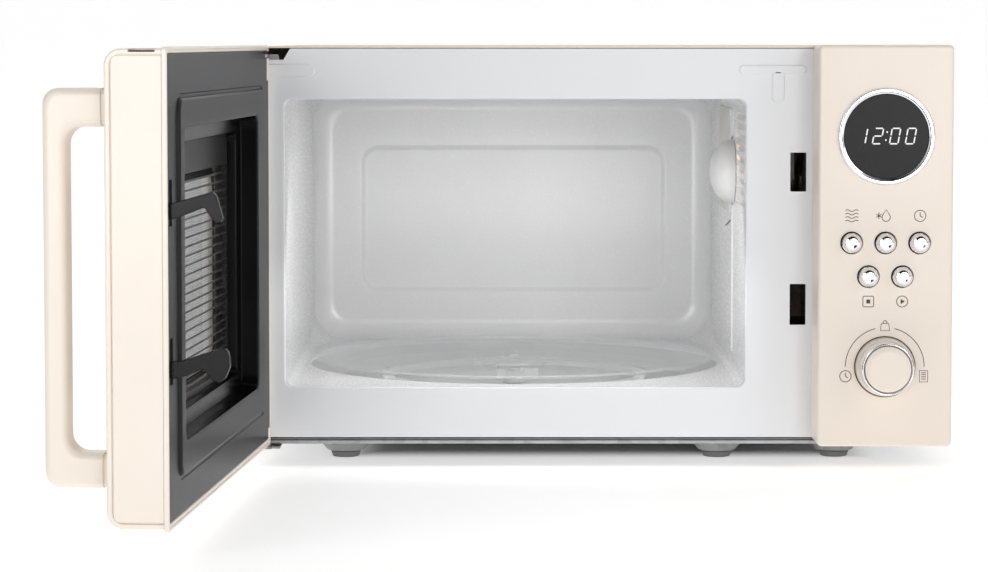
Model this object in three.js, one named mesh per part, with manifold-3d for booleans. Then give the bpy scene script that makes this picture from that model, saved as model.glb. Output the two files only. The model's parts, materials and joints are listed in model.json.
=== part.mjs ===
// Countertop microwave oven with its door open. Millimetres, +X right, +Y to the rear, +Z up.
// While modelling, X = 0 is the middle of the cabinet, Y = 0 the face of the front plate, Z = 0 the worktop.

import * as THREE from 'three';
import { mergeVertices } from 'three/addons/utils/BufferGeometryUtils.js';
import Module from 'manifold-3d';

const wasm = await Module();
wasm.setup();

// ---------------------------------------------------------------- driving dimensions

const GAP = 0.3;
const SHEET = 1.2;

const CABINET_WIDTH = 440;
const CABINET_TOP = 271.8;
const CABINET_BACK = 347;
const SKIRT_Z = 18.9;
const FRONT_DEPTH = 36.2;
const PANEL_WIDTH = 85.5;
const PANEL_BOTTOM = 17.6;
const PANEL_TOP = 272.6;
const PANEL_WALL = 2.6;

const PLATE_THICK = 1.5;
const PLATE_TOP = 270.2;

const CAVITY_LEFT = -205.5;
const CAVITY_RIGHT = 91.6;
const CAVITY_FLOOR = 51.4;
const CAVITY_CEILING = 237.6;
const CAVITY_DEPTH = 327;
const CAVITY_CORNER = 6;

const TABLE_Y = 160;
const WELL_RADIUS = 142;
const WELL_FLOOR = 36;
const GLASS_RADIUS = 138.5;
const GLASS_BOTTOM = 47.2;
const GLASS_THICK = 4.5;
const GLASS_RIM_TOP = 56.2;
const WHEEL_RADIUS = 5.4;
const WHEEL_TRACK = 100;

const HINGE_X = -217.5;
const HINGE_Y = -4.55;
const REST_OPEN_DEG = 94.5;
const DOOR_LEFT = -2.5;
const DOOR_FREE = 351;
const DOOR_INNER = 2.15;
const DOOR_THICK = 33.8;
const DOOR_SKIN = 3;
const DOOR_BOTTOM = 16.1;
const DOOR_TOP = 271.5;
const FRAME_BOTTOM = 14.5;
const FRAME_TOP = 272.5;
const PIN_RADIUS = 1.5;
const PIN_CLEARANCE = 0.05;

const HANDLE_A = 323;
const HANDLE_WIDTH = 20;
const HANDLE_BOTTOM = 35.1;
const HANDLE_TOP = 250.3;
const HANDLE_BAR = 12.8;
const HANDLE_REACH = 37.8;

const HOOK_A = 342.3;
const HOOK_WIDTH = 4.8;

const PANEL_X = CABINET_WIDTH / 2 - PANEL_WIDTH / 2;
const DISPLAY_Z = 214.8;
const DISPLAY_RADIUS = 31;
const KNOB_Z = 68.7;
const KNOB_RADIUS = 18.6;
const KNOB_REACH = 19;
const BUTTON_PITCH = 21.5;
const BUTTON_ROWS = [147.4, 126.0];
const BUTTON_RADIUS = 6.4;
const BUTTON_WELL = 7.15;
const BUTTON_REACH = 6.8;

const BASE_TOP = 17.6;
const FOOT_RADIUS = 9;
const FOOT_HEIGHT = 4;
const BASE_LIP_BOTTOM = 14.2;
const DISH_FLOOR_RADIUS = 12;
const DISH_MOUTH_RADIUS = 24;
const FAN_X = 155;
const FAN_Z = 175;
const FAN_RADIUS = 46;

// ---------------------------------------------------------------- colours

const LOOKS = {
  cream: { color: 0xf0e7dc, roughness: 0.35, metalness: 0 },
  white: { color: 0xe6e9ee, roughness: 0.3, metalness: 0 },
  enamel: { color: 0xd2d3d4, roughness: 0.35, metalness: 0 },
  zinc: { color: 0x9a9ca0, roughness: 0.4, metalness: 0.9 },
  chrome: { color: 0xd8dadd, roughness: 0.08, metalness: 1 },
  charcoal: { color: 0x545658, roughness: 0.45, metalness: 0 },
  black: { color: 0x181818, roughness: 0.5, metalness: 0 },
  glass: { color: 0xdfe8e6, roughness: 0.05, metalness: 0 },
  copper: { color: 0xb2693c, roughness: 0.4, metalness: 0.8 },
  board: { color: 0x2f6b46, roughness: 0.6, metalness: 0 },
  mica: { color: 0xcfc9bb, roughness: 0.7, metalness: 0 },
};

const part = new THREE.Group();

// ---------------------------------------------------------------- solids

/** Signed volume of an indexed triangle list, negative when its faces point inwards. */
function signedVolume(vertices, triangles) {
  const corners = [new THREE.Vector3(), new THREE.Vector3(), new THREE.Vector3()];
  let volume = 0;
  for (let i = 0; i < triangles.length; i += 3) {
    corners.forEach((corner, k) => corner.fromArray(vertices, 3 * triangles[i + k]));
    volume += corners[0].dot(corners[1].clone().cross(corners[2])) / 6;
  }
  return volume;
}

/** A closed three.js geometry as a solid that can be cut and joined. */
function solid(geometry) {
  geometry.deleteAttribute('normal');
  geometry.deleteAttribute('uv');
  const merged = mergeVertices(geometry, 1e-4);
  const index = merged.index.array;
  const vertices = Float32Array.from(merged.attributes.position.array);
  const triangles = [];
  for (let i = 0; i < index.length; i += 3) {
    const [a, b, c] = [index[i], index[i + 1], index[i + 2]];
    if (a !== b && b !== c && a !== c) triangles.push(a, b, c);
  }
  if (signedVolume(vertices, triangles) < 0) triangles.reverse();
  const mesh = new wasm.Mesh({
    numProp: 3,
    vertProperties: vertices,
    triVerts: Uint32Array.from(triangles),
  });
  return new wasm.Manifold(mesh);
}

function geometryOf(body) {
  const mesh = body.getMesh();
  const geometry = new THREE.BufferGeometry();
  geometry.setAttribute('position', new THREE.BufferAttribute(mesh.vertProperties, 3));
  geometry.setIndex(new THREE.BufferAttribute(mesh.triVerts, 1));
  geometry.computeVertexNormals();
  return geometry;
}

/** Adds a solid to a group as a named mesh. */
function addNode(group, name, look, body) {
  const mesh = new THREE.Mesh(geometryOf(body), new THREE.MeshStandardMaterial(LOOKS[look]));
  mesh.name = name;
  group.add(mesh);
  return mesh;
}

function box([x0, x1], [y0, y1], [z0, z1]) {
  const geometry = new THREE.BoxGeometry(x1 - x0, y1 - y0, z1 - z0);
  geometry.translate((x0 + x1) / 2, (y0 + y1) / 2, (z0 + z1) / 2);
  return solid(geometry);
}

/** Rectangle with round corners as a 2-D shape. */
function roundedRect([u0, u1], [v0, v1], radius) {
  const shape = new THREE.Shape();
  shape.moveTo(u0 + radius, v0);
  shape.lineTo(u1 - radius, v0);
  shape.absarc(u1 - radius, v0 + radius, radius, -Math.PI / 2, 0);
  shape.lineTo(u1, v1 - radius);
  shape.absarc(u1 - radius, v1 - radius, radius, 0, Math.PI / 2);
  shape.lineTo(u0 + radius, v1);
  shape.absarc(u0 + radius, v1 - radius, radius, Math.PI / 2, Math.PI);
  shape.lineTo(u0, v0 + radius);
  shape.absarc(u0 + radius, v0 + radius, radius, Math.PI, 1.5 * Math.PI);
  return shape;
}

function polygon(points) {
  return new THREE.Shape(points.map(([u, v]) => new THREE.Vector2(u, v)));
}

function extrude(shape, length, curveSegments = 6) {
  return new THREE.ExtrudeGeometry(shape, { depth: length, bevelEnabled: false, curveSegments });
}

/** Extrudes an (x, z) shape from y0 to y1. */
function extrudeY(shape, [y0, y1], curveSegments) {
  const geometry = extrude(shape, y1 - y0, curveSegments);
  geometry.rotateX(Math.PI / 2);
  geometry.translate(0, y1, 0);
  return solid(geometry);
}

/** Extrudes a (y, z) shape from x0 to x1. */
function extrudeX(shape, [x0, x1], curveSegments) {
  const geometry = extrude(shape, x1 - x0, curveSegments);
  geometry.applyMatrix4(new THREE.Matrix4().set(0, 0, 1, x0, 1, 0, 0, 0, 0, 1, 0, 0, 0, 0, 0, 1));
  return solid(geometry);
}

/** Turns a list of [radius, height] pairs around an axis through a point. */
function turned(profile, axis, [x, y, z], segments = 32) {
  const points = profile.map(([radius, height]) => new THREE.Vector2(radius, height));
  const geometry = new THREE.LatheGeometry(points, segments);
  if (axis === 'z') geometry.rotateX(Math.PI / 2);
  if (axis === 'x') geometry.rotateZ(-Math.PI / 2);
  geometry.translate(x, y, z);
  return solid(geometry);
}

function disc(radius, [h0, h1], axis, [u, v], segments = 32) {
  const places = { x: [0, u, v], y: [u, 0, v], z: [u, v, 0] };
  return turned([[0, h0], [radius, h0], [radius, h1], [0, h1]], axis, places[axis], segments);
}

function union(bodies) {
  return bodies.reduce((whole, body) => whole.add(body));
}

function cut(body, tools) {
  return tools.reduce((rest, tool) => rest.subtract(tool), body);
}

/** A grid of slots for a vent, as cutting boxes made by the given maker. */
function grid(columns, rows, maker) {
  const tools = [];
  for (let i = 0; i < columns; i += 1) {
    for (let j = 0; j < rows; j += 1) tools.push(maker(i, j));
  }
  return tools;
}

// ---------------------------------------------------------------- casing

function cabinetCover() {
  const half = CABINET_WIDTH / 2 - 0.6;
  const wrap = extrudeY(roundedRect([-half, half], [SKIRT_Z - 10, CABINET_TOP], 4), [GAP, CABINET_BACK]);
  const inner = [-half + SHEET, half - SHEET];
  const hollow = extrudeY(roundedRect(inner, [SKIRT_Z - 20, CABINET_TOP - SHEET], 3), [0, CABINET_BACK + 1]);
  const below = box([-half - 1, half + 1], [0, CABINET_BACK + 1], [0, SKIRT_Z]);
  const sideVents = grid(8, 3, (i, j) => box(
    [half - 3, half + 1], [225 + 12 * i, 231 + 12 * i], [70 + 30 * j, 92 + 30 * j]));
  return cut(wrap, [hollow, below, ...sideVents]);
}

const REAR_PANEL_Y = [CABINET_BACK - 4, CABINET_BACK - 4 + SHEET];
const INLET_X = 180;
const INLET_Z = 50;

function rearPanel() {
  const reach = CABINET_WIDTH / 2 - 0.6 - SHEET - GAP;
  const sheet = extrudeY(
    roundedRect([-reach, reach], [SKIRT_Z, CABINET_TOP - SHEET - GAP], 2.5), REAR_PANEL_Y);
  const through = [REAR_PANEL_Y[0] - 1, REAR_PANEL_Y[1] + 1];
  const fanVents = grid(3, 7, (i, j) => box(
    [FAN_X - 45 + 31 * i, FAN_X - 17 + 31 * i], through, [FAN_Z - 42 + 12 * j, FAN_Z - 36 + 12 * j]));
  const ductVents = grid(7, 1, (i) => box([-190 + 12 * i, -183 + 12 * i], through, [200, 236]));
  const inlet = disc(8.3, through, 'y', [INLET_X, INLET_Z]);
  return cut(sheet, [...fanVents, ...ductVents, inlet]);
}

/** Soft bush in the rear panel that the supply cord passes through. */
function cordInlet() {
  const y = REAR_PANEL_Y[1];
  const profile = [
    [4, y - 8], [8, y - 8], [8, y + GAP], [11, y + GAP], [11, y + 3], [7, y + 9], [4, y + 9], [4, y - 8],
  ];
  return turned(profile, 'y', [INLET_X, 0, INLET_Z], 24);
}

const FOOT_PLACES = {
  foot_front_left: [-169, 50],
  foot_front_middle: [77, 50],
  foot_front_right: [155, 52],
  foot_rear_left: [-169, 300],
  foot_rear_right: [155, 300],
};

/** Floor of the cabinet with a lip at the front and a drawn dish over each foot. */
function basePlate() {
  const reach = CABINET_WIDTH / 2 - 3;
  const under = BASE_TOP - SHEET;
  const dishBottom = FOOT_HEIGHT + GAP;
  const sheet = box([-reach, reach], [3, CABINET_BACK - 5], [under, BASE_TOP]);
  const lip = box([-reach, reach], [3, 3 + SHEET], [BASE_LIP_BOTTOM, BASE_TOP]);
  const dishProfile = [
    [0, dishBottom],
    [DISH_FLOOR_RADIUS, dishBottom],
    [DISH_MOUTH_RADIUS, under],
    [DISH_MOUTH_RADIUS, BASE_TOP],
    [0, BASE_TOP],
  ];
  const hollowProfile = [
    [0, dishBottom + SHEET],
    [DISH_FLOOR_RADIUS - 1, dishBottom + SHEET],
    [DISH_MOUTH_RADIUS - 1.4, BASE_TOP + 1],
    [0, BASE_TOP + 1],
  ];
  const places = Object.values(FOOT_PLACES);
  const dishes = places.map(([x, y]) => turned(dishProfile, 'z', [x, y, 0], 20));
  const hollows = places.map(([x, y]) => turned(hollowProfile, 'z', [x, y, 0], 20));
  return cut(union([sheet, lip, ...dishes]), hollows);
}

function foot(x, y) {
  const profile = [
    [0, 0], [FOOT_RADIUS - 1, 0], [FOOT_RADIUS, 1], [FOOT_RADIUS + 1, FOOT_HEIGHT], [0, FOOT_HEIGHT],
  ];
  return turned(profile, 'z', [x, y, 0], 24);
}

addNode(part, 'cabinet_cover', 'cream', cabinetCover());
addNode(part, 'rear_panel', 'zinc', rearPanel());
addNode(part, 'cord_inlet', 'black', cordInlet());
addNode(part, 'base_plate', 'zinc', basePlate());
Object.entries(FOOT_PLACES).forEach(([name, [x, y]]) => addNode(part, name, 'charcoal', foot(x, y)));

// ---------------------------------------------------------------- front plate and cavity

const SLOT_X = [120.2, 130.5];
const UPPER_SLOT_Z = [178.1, 203.3];
const LOWER_SLOT_Z = [91.9, 118.4];

function frontPlate() {
  const reach = CABINET_WIDTH / 2 - 0.6 - SHEET - GAP;
  const sheet = extrudeY(roundedRect([-reach, reach], [SKIRT_Z, PLATE_TOP], 3), [0, PLATE_THICK]);
  const through = [-1, PLATE_THICK + 1];
  const mouth = extrudeY(
    roundedRect([CAVITY_LEFT, CAVITY_RIGHT], [CAVITY_FLOOR, CAVITY_CEILING], CAVITY_CORNER), through);
  const upperSlot = box(SLOT_X, through, UPPER_SLOT_Z);
  const lowerSlot = box(SLOT_X, through, LOWER_SLOT_Z);
  const hingeNotch = extrudeY(
    polygon([[-reach - 1, 263], [-206, 263], [-199, PLATE_TOP + 1], [-reach - 1, PLATE_TOP + 1]]), through);
  const panelWindow = box([146, 208], through, [40, 250]);
  return cut(sheet, [mouth, upperSlot, lowerSlot, hingeNotch, panelWindow]);
}

const TABLE_X = (CAVITY_LEFT + CAVITY_RIGHT) / 2;
const CAVITY_FRONT = PLATE_THICK + GAP;
const LAMP_Y = 60;
const LAMP_Z = 198;
const STIRRER_Y = 100;
const STIRRER_Z = 187;

function cavityShell() {
  const outer = [CAVITY_LEFT - SHEET, CAVITY_RIGHT + SHEET];
  const liner = extrudeY(
    roundedRect(outer, [CAVITY_FLOOR - SHEET, CAVITY_CEILING + SHEET], CAVITY_CORNER + SHEET),
    [CAVITY_FRONT, CAVITY_DEPTH + SHEET]);
  const well = disc(WELL_RADIUS + SHEET, [WELL_FLOOR - SHEET, CAVITY_FLOOR], 'z', [TABLE_X, TABLE_Y], 56);
  const space = extrudeY(
    roundedRect([CAVITY_LEFT, CAVITY_RIGHT], [CAVITY_FLOOR, CAVITY_CEILING], CAVITY_CORNER),
    [CAVITY_FRONT - 1, CAVITY_DEPTH]);
  const wellSpace = disc(WELL_RADIUS, [WELL_FLOOR, CAVITY_FLOOR + 1], 'z', [TABLE_X, TABLE_Y], 56);
  const shaftHole = disc(6, [WELL_FLOOR - 3, WELL_FLOOR + 1], 'z', [TABLE_X, TABLE_Y], 16);
  const wall = [CAVITY_RIGHT - 1, CAVITY_RIGHT + SHEET + 1];
  const feedWindow = box(wall, [140, 190], [175, 215]);
  const lampSlots = grid(1, 6, (i, j) => box(
    wall, [LAMP_Y - 44, LAMP_Y + 12], [LAMP_Z - 27 + 10 * j, LAMP_Z - 22 + 10 * j]));
  const antennaHole = disc(9, wall, 'x', [STIRRER_Y, STIRRER_Z], 20);
  return cut(liner.add(well), [space, wellSpace, shaftHole, feedWindow, antennaHole, ...lampSlots]);
}

function waveguideCover() {
  return box([CAVITY_RIGHT - 1.2, CAVITY_RIGHT - GAP], [125, 216], [158, 229]);
}

/** Domed plastic cover on the right wall of the cavity. */
function stirrerDome() {
  const radius = 21.5;
  const height = 16;
  const profile = [[0, 0], [radius, 0]];
  const steps = 8;
  for (let i = 1; i <= steps; i += 1) {
    const angle = (i / steps) * Math.PI / 2;
    profile.push([radius * Math.cos(angle), 2 + (height - 2) * Math.sin(angle)]);
  }
  profile[profile.length - 1][0] = 0;
  const dome = turned(profile, 'x', [0, 0, 0], 28);
  return dome.rotate([0, 180, 0]).translate([CAVITY_RIGHT - GAP, STIRRER_Y, STIRRER_Z]);
}

addNode(part, 'front_plate', 'white', frontPlate());
addNode(part, 'cavity_shell', 'enamel', cavityShell());
addNode(part, 'waveguide_cover', 'mica', waveguideCover());
addNode(part, 'stirrer_dome', 'white', stirrerDome());

// ---------------------------------------------------------------- machine compartment

const WALL_X = CAVITY_RIGHT + SHEET + GAP;

/** Open-ended metal box that leads from the magnetron to the feed window. */
function waveguide() {
  const shell = box([WALL_X, WALL_X + 24], [132, 236], [165, 228]);
  const duct = box([WALL_X - 1, WALL_X + 22.8], [134, 234], [167, 226]);
  const antenna = disc(10, [WALL_X + 20, WALL_X + 26], 'x', [212, 196], 24);
  return cut(shell, [duct, antenna]);
}

function magnetron() {
  const x = WALL_X + 24 + GAP;
  const antenna = disc(8, [x - 18, x + 4], 'x', [212, 196], 24);
  const plate = box([x, x + 2], [172, 252], [156, 236]);
  const yoke = box([x + 2, x + 54], [177, 247], [161, 231]);
  const windowZ = box([x + 8, x + 48], [170, 254], [167, 225]);
  const anode = disc(18, [x + 2, x + 56], 'x', [212, 196], 20);
  const fins = [];
  for (let i = 0; i < 5; i += 1) {
    fins.push(box([x + 12 + 7 * i, x + 13 + 7 * i], [179, 245], [163, 229]));
  }
  const filterBox = box([x + 54, x + 76], [186, 238], [172, 220]);
  return union([cut(yoke, [windowZ]), antenna, plate, anode, ...fins, filterBox]);
}

function transformer() {
  const floor = BASE_TOP + GAP;
  const core = box([112, 182], [62, 142], [floor + 16, floor + 74]);
  const windowCut = box([122, 172], [60, 144], [floor + 26, floor + 64]);
  const limb = box([136, 158], [62, 142], [floor + 16, floor + 74]);
  const windings = box([124, 170], [50, 154], [floor + 28, floor + 62]);
  const bracket = box([106, 188], [66, 138], [floor, floor + 2]);
  const legs = [[106, 112], [182, 188]].map((span) => box(span, [66, 138], [floor, floor + 40]));
  return union([cut(core, [windowCut]), limb, windings, bracket, ...legs]);
}

/** Oval can with two terminals, held down by its strap. */
function highVoltageCapacitor() {
  const can = extrudeX(roundedRect([178, 228], [32, 64], 15.5), [112, 196], 4);
  const strap = extrudeX(roundedRect([177, 229], [BASE_TOP + GAP, 65], 12), [145, 160], 4);
  const tabs = [190, 210].map((y) => box([100, 113], [y, y + 6], [47, 48]));
  return union([can, strap, ...tabs]);
}

function highVoltageDiode() {
  const body = box([120, 126], [244, 266], [24, 32]);
  const lug = box([112, 140], [252, 258], [BASE_TOP + GAP, BASE_TOP + GAP + 1.5]);
  const stem = box([122, 124], [254, 256], [BASE_TOP + 1, 26]);
  return union([body, lug, stem]);
}

const FAN_Y = [300, 322];

function fanShroud() {
  const plate = box([FAN_X - 56, FAN_X + 56], [FAN_Y[1], FAN_Y[1] + 2], [FAN_Z - 56, FAN_Z + 56]);
  const duct = disc(FAN_RADIUS + 5, [FAN_Y[0], FAN_Y[1] + 1], 'y', [FAN_X, FAN_Z], 40);
  const bore = disc(FAN_RADIUS + 3, [FAN_Y[0] - 1, FAN_Y[1] + 4], 'y', [FAN_X, FAN_Z], 40);
  const struts = [-1, 1].map((side) => box(
    [FAN_X - 52, FAN_X + 52], [FAN_Y[1], FAN_Y[1] + 2], [FAN_Z + 14 * side - 3, FAN_Z + 14 * side + 3]));
  return union([cut(plate.add(duct), [bore]), ...struts]);
}

function fanMotor() {
  const y0 = FAN_Y[1] + 2 + GAP;
  const stack = box([FAN_X - 25, FAN_X + 25], [y0, y0 + 12], [FAN_Z - 20, FAN_Z + 30]);
  const coil = box([FAN_X - 17, FAN_X + 17], [y0, y0 + 17], [FAN_Z - 36, FAN_Z - 14]);
  const bore = disc(3.4, [y0 - 1, y0 + 9], 'y', [FAN_X, FAN_Z], 16);
  return cut(stack.add(coil), [bore]);
}

/** Fan wheel with its shaft, which runs back into the motor. */
function fanRotor() {
  const mid = (FAN_Y[0] + FAN_Y[1]) / 2;
  const hub = disc(11, [mid - 7, mid + 7], 'y', [FAN_X, FAN_Z], 24);
  const shaft = disc(3, [mid, FAN_Y[1] + 9], 'y', [FAN_X, FAN_Z], 16);
  const blades = [];
  const bladeCount = 7;
  for (let i = 0; i < bladeCount; i += 1) {
    const blade = box([8, FAN_RADIUS], [-1, 1], [-11, 11]).rotate([38, 0, 0]);
    const turn = (360 / bladeCount) * i;
    blades.push(blade.rotate([0, turn, 0]).translate([FAN_X, mid, FAN_Z]));
  }
  return union([hub, shaft, ...blades]);
}

function lampSocket() {
  const base = box([WALL_X + 18, WALL_X + 34], [LAMP_Y - 14, LAMP_Y + 14], [LAMP_Z - 14, LAMP_Z + 14]);
  const bore = disc(8, [WALL_X + 17, WALL_X + 30], 'x', [LAMP_Y, LAMP_Z], 24);
  const legs = [-14, 12].map((dy) => box(
    [WALL_X, WALL_X + 20], [LAMP_Y + dy, LAMP_Y + dy + 2], [LAMP_Z - 5, LAMP_Z + 5]));
  return union([cut(base, [bore]), ...legs]);
}

function lampBulb() {
  const x = WALL_X + 27;
  const profile = [
    [0, -27], [5, -26], [9, -22], [10.5, -17], [9, -12], [7.5, -9], [7.5, 0], [0, 0],
  ];
  return turned(profile, 'x', [x, LAMP_Y, LAMP_Z], 24);
}

function noiseFilter() {
  const board = box([120, 205], [256, 294], [240, 241.6]);
  const choke = box([130, 155], [262, 288], [241.6, 262]);
  const fuse = box([168, 196], [268, 278], [241.6, 252]);
  return union([board, choke, fuse]);
}

function thermostat() {
  const cap = disc(8.5, [CAVITY_CEILING + SHEET + GAP, CAVITY_CEILING + SHEET + 8], 'z', [20, 70], 24);
  const ears = box([7, 33], [66, 74], [CAVITY_CEILING + SHEET + GAP, CAVITY_CEILING + SHEET + 1.8]);
  return cap.add(ears);
}

/** Carrier behind the latch slots that holds the door switches. */
function latchBracket() {
  const back = [PLATE_THICK + GAP, PLATE_THICK + GAP + 2];
  const side = box([SLOT_X[1] + 1.1, SLOT_X[1] + 3.1], [back[0], 42], [84, 212]);
  const flange = box([SLOT_X[0] - 8, SLOT_X[0] - 1], back, [84, 212]);
  const shelves = [84, 168, 207].map((z) => box([SLOT_X[0] - 8, SLOT_X[1] + 2], [back[0], 40], [z, z + 3]));
  return union([side, flange, ...shelves]);
}

function doorSwitch(z) {
  const x = SLOT_X[1] + 3.1 + GAP;
  const body = box([x, x + 10], [10, 38], [z - 8, z + 8]);
  const terminals = [-5, 4].map((dz) => box([x + 4, x + 5], [37, 45], [z + dz, z + dz + 3]));
  return union([body, ...terminals]);
}

function turntableMotor() {
  const top = WELL_FLOOR - SHEET - GAP;
  const can = disc(24.5, [top - 14, top], 'z', [TABLE_X, TABLE_Y], 36);
  const ears = box([TABLE_X - 33, TABLE_X + 33], [TABLE_Y - 4, TABLE_Y + 4], [top - 1.5, top]);
  const bore = disc(3.2, [top - 11, top + 1], 'z', [TABLE_X, TABLE_Y], 16);
  return cut(can.add(ears), [bore]);
}

addNode(part, 'waveguide', 'zinc', waveguide());
addNode(part, 'magnetron', 'zinc', magnetron());
addNode(part, 'transformer', 'copper', transformer());
addNode(part, 'hv_capacitor', 'zinc', highVoltageCapacitor());
addNode(part, 'hv_diode', 'black', highVoltageDiode());
addNode(part, 'fan_shroud', 'black', fanShroud());
addNode(part, 'fan_motor', 'copper', fanMotor());
addNode(part, 'fan_rotor', 'black', fanRotor());
addNode(part, 'lamp_socket', 'white', lampSocket());
addNode(part, 'lamp_bulb', 'glass', lampBulb());
addNode(part, 'noise_filter_board', 'board', noiseFilter());
addNode(part, 'cavity_thermostat', 'black', thermostat());
addNode(part, 'latch_bracket', 'black', latchBracket());
addNode(part, 'door_switch_upper', 'black', doorSwitch(186));
addNode(part, 'door_switch_lower', 'black', doorSwitch(106));
addNode(part, 'turntable_motor', 'zinc', turntableMotor());

// ---------------------------------------------------------------- turntable

function glassPlate() {
  const flat = GLASS_RADIUS - 22;
  const profile = [
    [0, GLASS_BOTTOM],
    [flat, GLASS_BOTTOM],
    [GLASS_RADIUS - 2, GLASS_RIM_TOP - 2.6],
    [GLASS_RADIUS, GLASS_RIM_TOP - 1],
    [GLASS_RADIUS - 1.6, GLASS_RIM_TOP],
    [flat, GLASS_BOTTOM + GLASS_THICK],
    [0, GLASS_BOTTOM + GLASS_THICK],
  ];
  return turned(profile, 'z', [TABLE_X, TABLE_Y, 0], 60);
}

/** Three-lobed hub under the plate, with the shaft that enters the motor. */
function turntableCoupler() {
  const top = GLASS_BOTTOM - GAP;
  const hub = disc(8, [WELL_FLOOR + 1, top], 'z', [TABLE_X, TABLE_Y], 24);
  const shaft = disc(3, [WELL_FLOOR - SHEET - 10, WELL_FLOOR + 2], 'z', [TABLE_X, TABLE_Y], 16);
  const lobes = [0, 1, 2].map((i) => box([0, 17], [-4, 4], [WELL_FLOOR + 5, top])
    .rotate([0, 0, 120 * i]).translate([TABLE_X, TABLE_Y, 0]));
  return union([hub, shaft, ...lobes]);
}

const WHEEL_Z = WELL_FLOOR + 0.2 + WHEEL_RADIUS;
const AXLE_RADIUS = 1.2;

/** A piece drawn along +X from the table axis, turned and moved to wheel position 0, 1 or 2. */
function atWheel(body, index) {
  return body.rotate([0, 0, 90 + 120 * index]).translate([TABLE_X, TABLE_Y, WHEEL_Z]);
}

function rollerRing() {
  const inner = WHEEL_TRACK - 14;
  const outer = WHEEL_TRACK - 7;
  const ring = cut(
    disc(outer, [WHEEL_Z - 2, WHEEL_Z + 2], 'z', [TABLE_X, TABLE_Y], 40),
    [disc(inner, [WHEEL_Z - 3, WHEEL_Z + 3], 'z', [TABLE_X, TABLE_Y], 40)]);
  const axles = [0, 1, 2].map((i) => atWheel(
    disc(AXLE_RADIUS, [outer - 2, WHEEL_TRACK + 5], 'x', [0, 0], 12), i));
  return union([ring, ...axles]);
}

function rollerWheel(index) {
  const bore = AXLE_RADIUS + 0.25;
  const profile = [
    [bore, WHEEL_TRACK - 4], [WHEEL_RADIUS, WHEEL_TRACK - 4], [WHEEL_RADIUS, WHEEL_TRACK + 4],
    [bore, WHEEL_TRACK + 4], [bore, WHEEL_TRACK - 4],
  ];
  return atWheel(turned(profile, 'x', [0, 0, 0], 28), index);
}

addNode(part, 'glass_plate', 'glass', glassPlate());
addNode(part, 'turntable_coupler', 'white', turntableCoupler());
addNode(part, 'roller_ring', 'white', rollerRing());
[0, 1, 2].forEach((i) => addNode(part, `roller_wheel_${i + 1}`, 'white', rollerWheel(i)));

// ---------------------------------------------------------------- control panel

const BOARD_Y = -16;
const PANEL_LEFT = CABINET_WIDTH / 2 - PANEL_WIDTH;
const BUTTON_PLACES = [
  [-BUTTON_PITCH, BUTTON_ROWS[0]],
  [0, BUTTON_ROWS[0]],
  [BUTTON_PITCH, BUTTON_ROWS[0]],
  [-BUTTON_PITCH / 2, BUTTON_ROWS[1]],
  [BUTTON_PITCH / 2, BUTTON_ROWS[1]],
].map(([dx, z]) => [PANEL_X + dx, z]);

function controlPanel() {
  const right = CABINET_WIDTH / 2;
  const block = extrudeY(
    roundedRect([PANEL_LEFT, right], [PANEL_BOTTOM, PANEL_TOP], 3), [-FRONT_DEPTH, -GAP]);
  const inside = extrudeY(roundedRect(
    [PANEL_LEFT + PANEL_WALL, right - PANEL_WALL], [PANEL_BOTTOM + PANEL_WALL, PANEL_TOP - PANEL_WALL], 1.5,
  ), [-FRONT_DEPTH + PANEL_WALL, 1]);
  const face = [-FRONT_DEPTH - 1, -FRONT_DEPTH + PANEL_WALL + 1];
  const display = disc(DISPLAY_RADIUS - 3, face, 'y', [PANEL_X, DISPLAY_Z], 40);
  const wells = BUTTON_PLACES.map((place) => disc(BUTTON_WELL, face, 'y', place, 20));
  const knob = disc(5.2, face, 'y', [PANEL_X, KNOB_Z], 24);
  return cut(block, [inside, display, knob, ...wells]);
}

function displayBezel() {
  const y = -FRONT_DEPTH;
  const profile = [
    [DISPLAY_RADIUS - 4, y - 0.6], [DISPLAY_RADIUS - 3.3, y - 1.8], [DISPLAY_RADIUS - 1.2, y - 1.8],
    [DISPLAY_RADIUS, y - GAP], [DISPLAY_RADIUS - 3.3, y - GAP], [DISPLAY_RADIUS - 3.3, y + PANEL_WALL],
    [DISPLAY_RADIUS - 4, y + PANEL_WALL], [DISPLAY_RADIUS - 4, y - 0.6],
  ];
  return turned(profile, 'y', [PANEL_X, 0, DISPLAY_Z], 40);
}

function displayModule() {
  return box([PANEL_X - 24, PANEL_X + 24], [-31, BOARD_Y - GAP], [DISPLAY_Z - 12, DISPLAY_Z + 12]);
}

/** Control board with relays behind it and one switch under each button. */
function controlBoard() {
  const board = box([PANEL_X - 36, PANEL_X + 36], [BOARD_Y, BOARD_Y + 1.6], [42, 252]);
  const relays = [185, 160].map((z) => box([PANEL_X - 28, PANEL_X - 6], [BOARD_Y + 1, -2], [z, z + 18]));
  const supply = box([PANEL_X + 2, PANEL_X + 30], [BOARD_Y + 1, -2], [150, 182]);
  const switchDepth = [BOARD_Y - 3.5, BOARD_Y + 1];
  const switches = BUTTON_PLACES.map(([x, z]) => box([x - 3, x + 3], switchDepth, [z - 3, z + 3]));
  return union([board, ...relays, supply, ...switches]);
}

function knobEncoder() {
  const body = box([PANEL_X - 6.5, PANEL_X + 6.5], [-23, BOARD_Y - GAP], [KNOB_Z - 6.5, KNOB_Z + 6.5]);
  const bush = disc(4.8, [-30, -22], 'y', [PANEL_X, KNOB_Z], 20);
  const bore = disc(3.3, [-31, -19], 'y', [PANEL_X, KNOB_Z], 20);
  return cut(body.add(bush), [bore]);
}

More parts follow.
